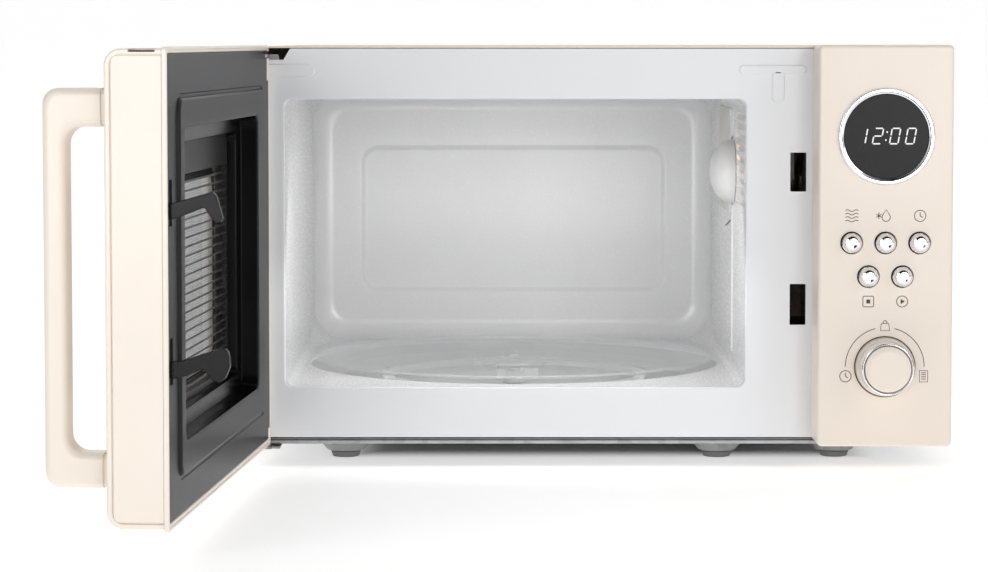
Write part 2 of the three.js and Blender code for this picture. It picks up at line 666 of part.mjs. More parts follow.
function button([x, z]) {
  const face = -FRONT_DEPTH;
  const tip = face - BUTTON_REACH;
  const profile = [
    [0, tip], [3.4, tip + 0.25], [4.7, tip + 1], [BUTTON_RADIUS, face - 2.4], [BUTTON_RADIUS, face + 1.4],
    [2, face + 1.4], [2, BOARD_Y - 5.2], [0, BOARD_Y - 5.2],
  ];
  return turned(profile, 'y', [x, 0, z], 20);
}

const KNOB_FRONT = -FRONT_DEPTH - KNOB_REACH;

function knobBody() {
  const skirtBack = -FRONT_DEPTH - GAP - 0.4;
  const profile = [
    [0, KNOB_FRONT], [12.6, KNOB_FRONT], [14.7, KNOB_FRONT + 1.6], [14.7, skirtBack - 5],
    [KNOB_RADIUS - 0.8, skirtBack - 5], [KNOB_RADIUS, skirtBack - 4], [KNOB_RADIUS, skirtBack],
    [3, skirtBack], [3, -20], [0, -20],
  ];
  return turned(profile, 'y', [PANEL_X, 0, KNOB_Z], 36);
}

function knobRing() {
  const front = KNOB_FRONT + 1;
  const back = -FRONT_DEPTH - 6;
  const profile = [
    [15, front + 1.2], [15.6, front], [16.4, front + 0.5], [17.2, back], [15, back], [15, front + 1.2],
  ];
  return turned(profile, 'y', [PANEL_X, 0, KNOB_Z], 36);
}

addNode(part, 'control_panel', 'cream', controlPanel());
addNode(part, 'display_bezel', 'chrome', displayBezel());
addNode(part, 'display_lens', 'charcoal', disc(
  DISPLAY_RADIUS - 4.3, [-FRONT_DEPTH - 0.5, -FRONT_DEPTH + 1.6], 'y', [PANEL_X, DISPLAY_Z], 40));
addNode(part, 'display_module', 'black', displayModule());
addNode(part, 'control_board', 'board', controlBoard());
addNode(part, 'knob_encoder', 'black', knobEncoder());
addNode(part, 'knob_body', 'cream', knobBody());
addNode(part, 'knob_ring', 'chrome', knobRing());
BUTTON_PLACES.forEach((place, i) => addNode(part, `button_${i + 1}`, 'chrome', button(place)));

// ---------------------------------------------------------------- hinge brackets

const ARM_X = [HINGE_X - 3.2, HINGE_X + 8.5];
const UPPER_ARM_Z = [265, 266.4];
const LOWER_ARM_Z = [12, 13.4];

/** Flat arm that ends in a half circle around the hinge pin. */
function hingeArm(backY, [z0, z1]) {
  const body = box([HINGE_X - 3.2, ARM_X[1]], [HINGE_Y, backY], [z0, z1]);
  return body.add(disc(3.2, [z0, z1], 'z', [HINGE_X, HINGE_Y], 20));
}

function hingeBracketUpper() {
  const back = PLATE_THICK + GAP;
  const arm = hingeArm(-GAP, UPPER_ARM_Z);
  const neck = box([-216, ARM_X[1]], [-1, back + 2], UPPER_ARM_Z);
  const flange = box([-216, ARM_X[1]], [back, back + 1.4], [242, UPPER_ARM_Z[1]]);
  const pin = disc(PIN_RADIUS, [254, UPPER_ARM_Z[1]], 'z', [HINGE_X, HINGE_Y], 20);
  return union([arm, neck, flange, pin]);
}

function hingeBracketLower() {
  const arm = hingeArm(26, LOWER_ARM_Z);
  const tab = box([-216, ARM_X[1]], [8, 26], [LOWER_ARM_Z[0], BASE_TOP - SHEET - GAP]);
  const pin = disc(PIN_RADIUS, [LOWER_ARM_Z[0], 24], 'z', [HINGE_X, HINGE_Y], 20);
  return union([arm, tab, pin]);
}

addNode(part, 'hinge_bracket_upper', 'zinc', hingeBracketUpper());
addNode(part, 'hinge_bracket_lower', 'zinc', hingeBracketLower());

// ---------------------------------------------------------------- door
// Door pieces are drawn closed, with X and Y measured from the hinge pin, then swung open as a group.

const door = new THREE.Group();
door.position.set(HINGE_X, HINGE_Y, 0);
door.rotation.z = THREE.MathUtils.degToRad(-REST_OPEN_DEG);
part.add(door);

const DOOR_OUTER = DOOR_INNER - DOOR_THICK;
const FRAME_BACK = DOOR_INNER - 3;
const UPPER_BOSS_Z = [250, 264.2];
const LOWER_BOSS_Z = [16.4, 26];
const WINDOW_A = [52, 300];
const WINDOW_Z = [76, 194.5];

/** Side profile of the outer shell: flat inner edge, round outer corners. */
function doorProfile(outer, inner, [z0, z1], radius) {
  const shape = new THREE.Shape();
  shape.moveTo(inner, z0);
  shape.lineTo(inner, z1);
  shape.lineTo(outer + radius, z1);
  shape.absarc(outer + radius, z1 - radius, radius, Math.PI / 2, Math.PI);
  shape.lineTo(outer, z0 + radius);
  shape.absarc(outer + radius, z0 + radius, radius, Math.PI, 1.5 * Math.PI);
  return shape;
}

function doorOuterShell() {
  const back = FRAME_BACK - GAP;
  const skin = extrudeX(doorProfile(DOOR_OUTER, back, [DOOR_BOTTOM, DOOR_TOP], 9), [DOOR_LEFT, DOOR_FREE], 8);
  const hollowZ = [DOOR_BOTTOM + DOOR_SKIN, DOOR_TOP - DOOR_SKIN];
  const hollow = extrudeX(
    doorProfile(DOOR_OUTER + DOOR_SKIN, back + 1, hollowZ, 6), [DOOR_LEFT + 2, DOOR_FREE + 1], 8);
  const window = extrudeY(roundedRect(WINDOW_A, WINDOW_Z, 12), [DOOR_OUTER - 1, DOOR_OUTER + DOOR_SKIN + 1]);
  const relief = [[248, DOOR_TOP - DOOR_SKIN], [DOOR_BOTTOM - 1, 28]].map((span) => box(
    [DOOR_LEFT - 1, 7.3], [-7, 3], span));
  const notchDepth = [DOOR_OUTER + 13, DOOR_OUTER + 27.5];
  const notch = box([DOOR_FREE - 14, DOOR_FREE + 1], notchDepth, [DOOR_TOP - 1.8, DOOR_TOP + 1]);
  return cut(skin, [hollow, window, notch, ...relief]);
}

/** Space that the upper hinge arm needs inside the door. */
function armSpace() {
  return box([DOOR_LEFT - 1, 12], [-8, DOOR_INNER + 3], [UPPER_BOSS_Z[1], DOOR_TOP - DOOR_SKIN - 0.1]);
}

/** Moulded frame around the inner side, with a boss for each hinge pin. */
function doorInnerFrame() {
  const depth = [FRAME_BACK, DOOR_INNER];
  const plate = box([DOOR_LEFT, DOOR_FREE], depth, [FRAME_BOTTOM, FRAME_TOP]);
  const opening = box([0.5, DOOR_FREE - 1.5], [-2, 3], [19.1, 269]);
  const bosses = [UPPER_BOSS_Z, LOWER_BOSS_Z].map((span) => box([DOOR_LEFT, 7], [-6.5, DOOR_INNER], span));
  const bore = disc(PIN_RADIUS + PIN_CLEARANCE, [10, 265], 'z', [0, 0], 20);
  return cut(union([cut(plate, [opening]), ...bosses]), [bore, armSpace()]);
}

const CHOKE_A = [23, 322];
const CHOKE_Z = [39.8, 244.8];
const CHOKE_OPEN_A = [55, 308];
const CHOKE_OPEN_Z = [58, 228.5];
const CHOKE_RAISE = 1.8;
const CHOKE_BACK = DOOR_INNER - 16;

/** Dark cover over the microwave choke, with a raised field and a sunk window. */
function doorChokeCover() {
  const thick = 1.8;
  const flange = box([0.8, DOOR_FREE - 1.8], [DOOR_INNER - thick, DOOR_INNER], [19.4, 268.7]);
  const raised = extrudeY(roundedRect(CHOKE_A, CHOKE_Z, 8), [DOOR_INNER - thick, DOOR_INNER + CHOKE_RAISE]);
  const under = extrudeY(
    roundedRect([CHOKE_A[0] + thick, CHOKE_A[1] - thick], [CHOKE_Z[0] + thick, CHOKE_Z[1] - thick], 6),
    [DOOR_INNER - thick - 1, DOOR_INNER + CHOKE_RAISE - thick]);
  const rimA = [CHOKE_OPEN_A[0] - thick, CHOKE_OPEN_A[1] + thick];
  const rimZ = [CHOKE_OPEN_Z[0] - thick, CHOKE_OPEN_Z[1] + thick];
  const rim = extrudeY(roundedRect(rimA, rimZ, 8), [CHOKE_BACK, DOOR_INNER + CHOKE_RAISE]);
  const opening = extrudeY(
    roundedRect(CHOKE_OPEN_A, CHOKE_OPEN_Z, 6.5), [CHOKE_BACK - 1, DOOR_INNER + CHOKE_RAISE + 1]);
  const bossRoom = [[249.7, 264.5], [18, 26.3]].map((span) => box([0, 7.3], [-1, 3], span));
  const hookSlots = [[177, 202], [92.5, 117.5]].map((span) => box([HOOK_A - 4, HOOK_A + 4], [-1, 3], span));
  const body = cut(union([flange, raised]), [under]).add(rim);
  return cut(body, [opening, ...bossRoom, armSpace(), ...hookSlots]);
}

function doorHandle() {
  const face = DOOR_OUTER - GAP;
  const outer = face + GAP - HANDLE_REACH;
  const side = new THREE.Shape();
  const corner = 3.5;
  side.moveTo(face, HANDLE_BOTTOM);
  side.lineTo(face, HANDLE_TOP);
  side.lineTo(outer + corner, HANDLE_TOP);
  side.absarc(outer + corner, HANDLE_TOP - corner, corner, Math.PI / 2, Math.PI);
  side.lineTo(outer, HANDLE_BOTTOM + corner);
  side.absarc(outer + corner, HANDLE_BOTTOM + corner, corner, Math.PI, 1.5 * Math.PI);
  const span = [HANDLE_A - HANDLE_WIDTH / 2, HANDLE_A + HANDLE_WIDTH / 2];
  const gap = extrudeX(
    roundedRect([outer + HANDLE_BAR, face + 15], [54.1, 229.7], 9.6), [span[0] - 1, span[1] + 1], 8);
  return extrudeX(side, span, 8).subtract(gap);
}

function latchKey() {
  const span = [HOOK_A - HOOK_WIDTH / 2, HOOK_A + HOOK_WIDTH / 2];
  const bar = box([HOOK_A - 5, HOOK_A + 5], [-9, -4], [88, 212]);
  const upper = extrudeX(polygon([
    [-5, 180.2], [1, 180.2], [8.7, 182.8], [20.6, 187.5], [22.6, 184.4], [26.4, 179.2], [29.4, 179.8],
    [30.4, 181.6], [27.2, 193.4], [25, 195.7], [21.9, 194.7], [2.5, 189.5], [-5, 188.6],
  ]), span);
  const lower = extrudeX(polygon([
    [-5, 96], [6.6, 96.4], [19.6, 101.6], [21.4, 99], [25, 95.2], [28.4, 94.3], [31.4, 96.8],
    [33.9, 102.9], [33.4, 108.9], [32.4, 112.3], [28.2, 112.1], [21.3, 110.2], [7.5, 105.6], [-5, 105.2],
  ]), span);
  const springPeg = disc(1.5, [211, 218], 'z', [HOOK_A, -6.5], 12);
  return union([bar, upper, lower, springPeg]);
}

/** Coil spring between the top of the latch key and a bracket in the door. */
function latchSpring() {
  const turns = 6;
  const radius = 2.3;
  const base = 212.9;
  const top = 229.1;
  class Helix extends THREE.Curve {
    getPoint(t) {
      const angle = 2 * Math.PI * turns * t;
      return new THREE.Vector3(radius * Math.cos(angle), radius * Math.sin(angle), base + (top - base) * t);
    }
  }
  const section = new THREE.Shape().absarc(0, 0, 0.4, 0, 2 * Math.PI);
  const options = { steps: 10 * turns, extrudePath: new Helix(), curveSegments: 3, bevelEnabled: false };
  return solid(new THREE.ExtrudeGeometry(section, options)).translate([HOOK_A, -6.5, 0]);
}

/** Guide that the latch key slides in, fixed inside the door. */
function latchGuide() {
  const span = [HOOK_A - 5.5, HOOK_A + 5.5];
  const back = box(span, [-12, -9.4], [80, 234]);
  const stop = box(span, [-12, -1], [230, 234]);
  const foot = box(span, [-12, -1], [82, 87.6]);
  return union([back, stop, foot]);
}

function doorEndCap() {
  const inset = DOOR_SKIN + 0.7;
  const shape = doorProfile(
    DOOR_OUTER + inset, FRAME_BACK - 0.6, [DOOR_BOTTOM + inset, DOOR_TOP - inset], 4);
  return extrudeX(shape, [DOOR_FREE - 2.8, DOOR_FREE - 0.3], 6);
}

addNode(door, 'door_outer_shell', 'cream', doorOuterShell());
addNode(door, 'door_end_cap', 'cream', doorEndCap());
addNode(door, 'door_inner_frame', 'cream', doorInnerFrame());
addNode(door, 'door_choke_cover', 'charcoal', doorChokeCover());
addNode(door, 'door_screen', 'black', extrudeY(
  roundedRect([34, 318], [46, 240], 4), [CHOKE_BACK - GAP - 0.7, CHOKE_BACK - GAP]));
addNode(door, 'door_glass', 'glass', extrudeY(
  roundedRect([WINDOW_A[0] - 6, WINDOW_A[1] + 6], [WINDOW_Z[0] - 6, WINDOW_Z[1] + 6], 6),
  [DOOR_OUTER + DOOR_SKIN + GAP, DOOR_OUTER + DOOR_SKIN + 3.5]));
addNode(door, 'door_handle', 'cream', doorHandle());
addNode(door, 'latch_guide', 'white', latchGuide());
addNode(door, 'latch_spring', 'zinc', latchSpring());
addNode(door, 'latch_key', 'black', latchKey());

// ---------------------------------------------------------------- place on the worktop

part.updateMatrixWorld(true);
const bounds = new THREE.Box3().setFromObject(part, true);
const middle = bounds.getCenter(new THREE.Vector3());
part.position.set(-middle.x, -middle.y, -bounds.min.z);

export default part;
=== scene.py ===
"""Looks of a countertop microwave oven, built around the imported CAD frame."""

import json
import math

import bmesh
import bpy
from mathutils import Matrix, Vector


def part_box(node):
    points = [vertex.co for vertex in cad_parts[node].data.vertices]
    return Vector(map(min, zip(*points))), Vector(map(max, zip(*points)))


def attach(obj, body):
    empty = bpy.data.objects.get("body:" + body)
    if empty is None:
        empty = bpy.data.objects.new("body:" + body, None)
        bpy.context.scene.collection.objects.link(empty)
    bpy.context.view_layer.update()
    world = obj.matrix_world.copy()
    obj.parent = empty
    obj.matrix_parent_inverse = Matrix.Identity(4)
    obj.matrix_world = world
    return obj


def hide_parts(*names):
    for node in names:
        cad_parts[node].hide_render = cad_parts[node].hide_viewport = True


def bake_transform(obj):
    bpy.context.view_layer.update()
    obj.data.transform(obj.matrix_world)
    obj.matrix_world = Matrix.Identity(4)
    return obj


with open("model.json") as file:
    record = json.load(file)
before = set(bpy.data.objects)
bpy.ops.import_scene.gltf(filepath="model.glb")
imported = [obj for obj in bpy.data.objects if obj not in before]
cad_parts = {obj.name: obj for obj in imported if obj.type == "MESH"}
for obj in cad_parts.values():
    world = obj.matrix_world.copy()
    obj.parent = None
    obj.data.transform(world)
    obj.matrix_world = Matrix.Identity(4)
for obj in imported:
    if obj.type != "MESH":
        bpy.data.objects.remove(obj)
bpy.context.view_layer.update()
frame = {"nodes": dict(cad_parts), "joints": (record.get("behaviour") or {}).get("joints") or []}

# ------------------------------------------------------------------ places, in millimetres

MM = 0.001
plate_low, plate_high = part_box("front_plate")
CENTRE_X = (plate_low.x + plate_high.x) / 2
FRONT_Y = plate_low.y

JOINTS = {joint["name"]: joint for joint in frame["joints"]}
HINGE = JOINTS["door_hinge"]
REST_OPEN = HINGE["range_deg"][1]


def place(x, y, z):
    """A point measured from the cabinet's middle, the front plate's face and the worktop."""
    return Vector((CENTRE_X + x * MM, FRONT_Y + y * MM, z * MM))


def local(point):
    """The inverse of place(): a point of the frame in the cabinet's millimetres."""
    return Vector(((point.x - CENTRE_X) / MM, (point.y - FRONT_Y) / MM, point.z / MM))


CABINET = Matrix.Translation(place(0, 0, 0)) @ Matrix.Scale(MM, 4)
DOOR = (
    Matrix.Translation(Vector((HINGE["pos_m"][0], HINGE["pos_m"][1], 0)))
    @ Matrix.Rotation(math.radians(-REST_OPEN), 4, "Z")
    @ Matrix.Scale(MM, 4)
)


def span(node, axis):
    """Lowest and highest coordinate of a CAD node along an axis, in cabinet millimetres."""
    low, high = (local(corner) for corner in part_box(node))
    return low[axis], high[axis]


def mid(node, axis):
    """Middle of a CAD node along an axis."""
    return sum(span(node, axis)) / 2


def half(node, axis):
    """Half of a CAD node's length along an axis."""
    low, high = span(node, axis)
    return (high - low) / 2


# ------------------------------------------------------------------ mesh helpers


def make_object(name, mesh, material, body, space=CABINET, smooth=35.0, stands_for=()):
    """Puts a mesh drawn in millimetres into the frame as a finished piece."""
    mesh.transform(space)
    mesh.shade_smooth()
    mesh.set_sharp_from_angle(angle=math.radians(smooth))
    mesh.materials.clear()
    mesh.materials.append(material)
    piece = bpy.data.objects.new(name, mesh)
    bpy.context.scene.collection.objects.link(piece)
    weighting = piece.modifiers.new("flat faces stay flat", "WEIGHTED_NORMAL")
    weighting.keep_sharp = True
    weighting.weight = 100
    if body is not None:
        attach(piece, body)
    if stands_for:
        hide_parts(*stands_for)
    return piece


def to_mesh(bm):
    bmesh.ops.remove_doubles(bm, verts=bm.verts, dist=1e-5)
    bmesh.ops.recalc_face_normals(bm, faces=bm.faces)
    mesh = bpy.data.meshes.new("mesh")
    bm.to_mesh(mesh)
    bm.free()
    return mesh


def loft(rings, loop=False):
    """A skin over rings of points. Each ring is closed; a loop joins the last ring to the first."""
    bm = bmesh.new()
    rows = [[bm.verts.new(point) for point in ring] for ring in rings]
    pairs = list(zip(rows, rows[1:]))
    if loop:
        pairs.append((rows[-1], rows[0]))
    count = len(rows[0])
    for lower, upper in pairs:
        for i in range(count):
            j = (i + 1) % count
            bm.faces.new((lower[i], lower[j], upper[j], upper[i]))
    if not loop:
        bm.faces.new(rows[0][::-1])
        bm.faces.new(rows[-1])
    return to_mesh(bm)


def arc(centre, radius, start, end, steps):
    """Points on a circular arc, angles in degrees."""
    points = []
    for i in range(steps + 1):
        angle = math.radians(start + (end - start) * i / steps)
        points.append((centre[0] + radius * math.cos(angle), centre[1] + radius * math.sin(angle)))
    return points


def rounded(points, steps=6):
    """A polyline whose inner corners are rounded. Each point is (u, v) or (u, v, radius)."""
    result = []
    for i, corner in enumerate(points):
        radius = corner[2] if len(corner) > 2 else 0
        here = Vector(corner[:2])
        if radius <= 0 or i in (0, len(points) - 1):
            result.append(tuple(here))
            continue
        before = (Vector(points[i - 1][:2]) - here).normalized()
        after = (Vector(points[i + 1][:2]) - here).normalized()
        half = before.angle(after) / 2
        reach = radius / math.tan(half)
        start, end = here + before * reach, here + after * reach
        centre = here + (before + after).normalized() * (radius / math.sin(half))
        for k in range(steps + 1):
            t = k / steps
            direction = ((start - centre) * (1 - t) + (end - centre) * t).normalized()
            result.append(tuple(centre + direction * radius))
    return result


def rounded_ring(u, v, radius, steps=8):
    """Outline of a rectangle with round corners, as (u, v) points."""
    (u0, u1), (v0, v1) = u, v
    radius = max(radius, 0.01)
    corners = [
        ((u1 - radius, v0 + radius), -90),
        ((u1 - radius, v1 - radius), 0),
        ((u0 + radius, v1 - radius), 90),
        ((u0 + radius, v0 + radius), 180),
    ]
    points = []
    for centre, start in corners:
        points += arc(centre, radius, start, start + 90, steps)
    return points


PLANES = {
    "y": lambda u, v, d: (u, d, v),
    "x": lambda u, v, d: (d, u, v),
    "z": lambda u, v, d: (u, v, d),
}


def stack(layers, axis="y", steps=8, loop=False):
    """Lofts rounded rectangles. Each layer is (u range, v range, corner radius, depth)."""
    lift = PLANES[axis]
    rings = []
    for u, v, radius, depth in layers:
        rings.append([lift(a, b, depth) for a, b in rounded_ring(u, v, radius, steps)])
    return loft(rings, loop=loop)


def grow(pair, amount):
    return (pair[0] - amount, pair[1] + amount)


def slab(u, v, corner, depth, edge=(0, 0), axis="y", steps=8, edge_steps=4):
    """A plate with round corners and rounded rims: edge holds the rim radius at each depth."""
    low, high = depth
    layers = []
    for side, rim in ((0, edge[0]), (1, edge[1])):
        level, sign = (low, 1) if side == 0 else (high, -1)
        rows = []
        if rim <= 0:
            rows.append((u, v, corner, level))
        else:
            for k in range(edge_steps + 1):
                angle = math.pi / 2 * k / edge_steps
                inset = rim * (1 - math.sin(angle))
                rows.append((grow(u, -inset), grow(v, -inset), max(corner - inset, 0.05),
                             level + sign * rim * (1 - math.cos(angle))))
        layers += rows if side == 0 else rows[::-1]
    return stack(layers, axis, steps)


def lathe(profile, axis, centre, segments=96):
    """Turns (radius, height) points around an axis. Ends on the axis close into a point."""
    bm = bmesh.new()
    rows = []
    for radius, height in profile:
        ring = []
        count = 1 if radius < 1e-6 else segments
        for i in range(count):
            angle = 2 * math.pi * i / segments
            a, b = radius * math.cos(angle), radius * math.sin(angle)
            local_point = {"x": (height, a, b), "y": (a, height, b), "z": (a, b, height)}[axis]
            ring.append(bm.verts.new(Vector(local_point) + Vector(centre)))
        rows.append(ring)
    closed = profile[0] == profile[-1]
    for lower, upper in zip(rows, rows[1:]):
        for i in range(segments):
            j = (i + 1) % segments
            corners = [lower[i % len(lower)], lower[j % len(lower)], upper[j % len(upper)],
                       upper[i % len(upper)]]
            unique = list(dict.fromkeys(corners))
            if len(unique) > 2:
                bm.faces.new(unique)
    if not closed:
        for ring in (rows[0], rows[-1]):
            if len(ring) > 1:
                bm.faces.new(ring)
    return to_mesh(bm)


def prism(outline, depth, axis="x"):
    """A flat outline given a thickness."""
    lift = PLANES[axis]
    return loft([[lift(a, b, level) for a, b in outline] for level in depth])


def joined(*meshes):
    bm = bmesh.new()
    for mesh in meshes:
        bm.from_mesh(mesh)
        bpy.data.meshes.remove(mesh)
    whole = bpy.data.meshes.new("mesh")
    bm.to_mesh(whole)
    bm.free()
    return whole


def applied(mesh, add_modifiers):
    """Runs modifiers over a mesh and returns the result."""
    carrier = bpy.data.objects.new("carrier", mesh)
    bpy.context.scene.collection.objects.link(carrier)
    add_modifiers(carrier)
    depsgraph = bpy.context.evaluated_depsgraph_get()
    result = bpy.data.meshes.new_from_object(carrier.evaluated_get(depsgraph))
    bpy.data.objects.remove(carrier)
    bpy.data.meshes.remove(mesh)
    return result


def carved(mesh, cutters, operation="DIFFERENCE"):
    """Cuts one mesh out of another, exactly."""
    tool = bpy.data.objects.new("cutter", joined(*cutters))
    bpy.context.scene.collection.objects.link(tool)

    def add(carrier):
        boolean = carrier.modifiers.new("cut", "BOOLEAN")
        boolean.object = tool
        boolean.operation = operation
        boolean.solver = "EXACT"
        boolean.use_self = True

    result = applied(mesh, add)
    bpy.data.objects.remove(tool)
    return result


def bevelled(mesh, width, segments=3, angle=35.0):
    def add(carrier):
        bevel = carrier.modifiers.new("bevel", "BEVEL")
        bevel.width = width
        bevel.segments = segments
        bevel.limit_method = "ANGLE"
        bevel.angle_limit = math.radians(angle)
        bevel.use_clamp_overlap = True
    return applied(mesh, add)


def block(x, y, z):
    return stack([(x, z, 0.01, y[0]), (x, z, 0.01, y[1])], steps=1)


def flared_hole(radius, flare, face_y, depth, centre, segments=96):
    """Cutter for a round hole whose mouth at face_y is rounded. The hole runs towards +Y."""
    rim = arc((radius + flare, face_y + flare), flare, 270, 180, 5)
    far_y = face_y + depth
    profile = [(0, face_y - 2), (radius + flare, face_y - 2), *rim, (radius, far_y), (0, far_y)]
    return lathe(profile, "y", (centre[0], 0, centre[1]), segments)


# ------------------------------------------------------------------ materials


def shade(color, factor):
    return tuple(min(1.0, channel * factor) for channel in color) + (1.0,)


def surface(name, color, roughness, metallic=0.0, grain=700.0, relief=0.03, drift=0.02,
            rough_drift=0.06, coat=0.0, pattern="noise", sockets=None):
    """A material with slow colour drift, fine surface relief and uneven gloss."""
    material = bpy.data.materials.new(name)
    material.use_nodes = True
    nodes, links = material.node_tree.nodes, material.node_tree.links
    shader = nodes["Principled BSDF"]
    shader.inputs["Metallic"].default_value = metallic
    shader.inputs["Coat Weight"].default_value = coat
    shader.inputs["Coat Roughness"].default_value = 0.08
    for socket, value in (sockets or {}).items():
        shader.inputs[socket].default_value = value
    coords = nodes.new("ShaderNodeTexCoord")
    broad = nodes.new("ShaderNodeTexNoise")
    broad.inputs["Scale"].default_value = 14.0
    broad.inputs["Detail"].default_value = 3.0
    if pattern == "spangle":
        fine = nodes.new("ShaderNodeTexVoronoi")
        fine.inputs["Scale"].default_value = grain
        fine_value = fine.outputs["Color"]
    else:
        fine = nodes.new("ShaderNodeTexNoise")
        fine.inputs["Scale"].default_value = grain
        fine.inputs["Detail"].default_value = 2.0
        fine_value = fine.outputs["Fac"]
    ramp = nodes.new("ShaderNodeValToRGB")
    ramp.color_ramp.elements[0].position = 0.3
    ramp.color_ramp.elements[0].color = shade(color, 1 - drift)
    ramp.color_ramp.elements[1].position = 0.7
    ramp.color_ramp.elements[1].color = shade(color, 1 + drift)
    spread = nodes.new("ShaderNodeMapRange")
    spread.inputs["To Min"].default_value = max(0.0, roughness - rough_drift)
    spread.inputs["To Max"].default_value = min(1.0, roughness + rough_drift)
    bump = nodes.new("ShaderNodeBump")
    bump.inputs["Strength"].default_value = relief
    bump.inputs["Distance"].default_value = 0.0003
    links.new(coords.outputs["Object"], broad.inputs["Vector"])
    links.new(coords.outputs["Object"], fine.inputs["Vector"])
    links.new((fine_value if pattern == "spangle" else broad.outputs["Fac"]), ramp.inputs["Fac"])
    links.new(ramp.outputs["Color"], shader.inputs["Base Color"])
    links.new(fine_value, spread.inputs["Value"])
    links.new(spread.outputs["Result"], shader.inputs["Roughness"])
    links.new(fine_value, bump.inputs["Height"])
    links.new(bump.outputs["Normal"], shader.inputs["Normal"])
    return material


def maths(tree, operation, first, second=None, vector=False):
    """A math node on a socket and a socket or constant. Returns its output socket."""
    node = tree.nodes.new("ShaderNodeVectorMath" if vector else "ShaderNodeMath")
    node.operation = operation
    tree.links.new(first, node.inputs[0])
    if isinstance(second, bpy.types.NodeSocket):
        tree.links.new(second, node.inputs[1])
    elif second is not None:
        node.inputs[1].default_value = second
    return node.outputs["Vector" if vector and operation != "LENGTH" else "Value"]


def glowing(name, color, strength):
    material = surface(name, color, 0.4, relief=0.0)
    shader = material.node_tree.nodes["Principled BSDF"]
    shader.inputs["Emission Color"].default_value = (*color, 1.0)
    shader.inputs["Emission Strength"].default_value = strength
    return material


def clear(name, color, roughness, ior=1.46, relief=0.01):
    return surface(name, color, roughness, grain=60.0, relief=relief, drift=0.0, rough_drift=0.01,
                   sockets={"Transmission Weight": 1.0, "IOR": ior})


CREAM = surface("cream_moulding", (0.88, 0.80, 0.71), 0.34, grain=1400, relief=0.05, drift=0.012, coat=0.15)
CREAM_SATIN = surface("cream_panel", (0.82, 0.73, 0.64), 0.36, grain=1500, relief=0.05, drift=0.012, coat=0.1)
CREAM_PAINT = surface("cream_paint", (0.83, 0.73, 0.62), 0.38, grain=1100, relief=0.09, drift=0.015, coat=0.2)
WHITE_PAINT = surface("white_paint", (0.79, 0.80, 0.82), 0.42, grain=900, relief=0.05, drift=0.01, coat=0.06)
CAVITY_PAINT = surface("cavity_paint", (0.80, 0.80, 0.805), 0.26, grain=800, relief=0.07, drift=0.02,
                       coat=0.2)
WHITE_PLASTIC = surface("white_moulding", (0.80, 0.80, 0.79), 0.4, grain=1500, relief=0.05)
CHARCOAL = surface("charcoal_moulding", (0.030, 0.030, 0.031), 0.30, grain=1600, relief=0.08, drift=0.06,
                   sockets={"Specular IOR Level": 0.07})
# The choke cover's own moulding made nearly black: painted shade for the inside of its sunk window.
RECESS_SHADE = surface("recess_painted_shade", (0.003, 0.003, 0.003), 0.2, grain=1200, relief=0.03, drift=0.06,
                 sockets={"Specular IOR Level": 0.08})
BLACK_PLASTIC = surface("black_moulding", (0.005, 0.005, 0.005), 0.26, grain=1500, relief=0.05, drift=0.1,
                        sockets={"Specular IOR Level": 0.2})
RUBBER = surface("rubber", (0.17, 0.17, 0.17), 0.7, grain=900, relief=0.2, drift=0.1)
ZINC = surface("galvanised_sheet", (0.3, 0.3, 0.305), 0.34, 1.0, grain=160, relief=0.02, drift=0.12,
               pattern="spangle")
BASE_METAL = surface("base_sheet", (0.36, 0.36, 0.365), 0.38, 1.0, grain=160, relief=0.02, drift=0.1,
                     pattern="spangle")
ALUMINIUM = surface("aluminium", (0.7, 0.7, 0.71), 0.35, 1.0, grain=500, relief=0.05)
CHROME = surface("chrome", (0.84, 0.85, 0.87), 0.06, 1.0, grain=300, relief=0.004, drift=0.01,
                 rough_drift=0.02)
LENS = surface("display_window", (0.026, 0.026, 0.026), 0.3, grain=200, relief=0.004,
               sockets={"Specular IOR Level": 0.12})
# Dark brown for the panel's printed marks, and also painted shade for the groove round the knob.
PRINT_AND_GROOVE_SHADE = surface("print_and_groove_shade", (0.05, 0.042, 0.036), 0.6, grain=2500, relief=0.1, drift=0.1)
IRON = surface("varnished_core", (0.20, 0.15, 0.12), 0.5, 0.4, grain=500, relief=0.2, drift=0.15)
BOARD = surface("circuit_board", (0.04, 0.16, 0.09), 0.45, grain=900, relief=0.1, drift=0.15)
MICA = surface("mica", (0.70, 0.69, 0.66), 0.5, grain=150, relief=0.1, drift=0.05, pattern="spangle")
GLASS = surface("clear_glass", (0.86, 0.88, 0.875), 0.08, grain=60, relief=0.01, drift=0.01, rough_drift=0.02,
                sockets={"Alpha": 0.2})
SMOKED = clear("smoked_glass", (0.8, 0.8, 0.8), 0.03)
DOME_PLASTIC = surface("dome_moulding", (0.66, 0.66, 0.66), 0.35, grain=1500, relief=0.04, coat=0.1)
DIGIT_WHITE = glowing("display_digit", (0.6, 0.6, 0.6), 0.55)
LAMPLIGHT = glowing("lamp_glow", (1.0, 0.60, 0.27), 2.6)

# ------------------------------------------------------------------ control panel

panel_x, panel_y, panel_z = (span("control_panel", axis) for axis in range(3))
FACE = panel_y[0]
BUTTONS = [f"button_{i}" for i in range(1, 6)]


def middle(node):
    """Centre of a CAD node across the panel's face, as (x, z)."""
    return mid(node, 0), mid(node, 2)


DISPLAY = middle("display_bezel")
KNOB = middle("knob_body")
BEZEL_RADIUS = half("display_bezel", 0)
KNOB_RADIUS = half("knob_body", 0)
BUTTON_WELL = 7.15
WALL = 2.6


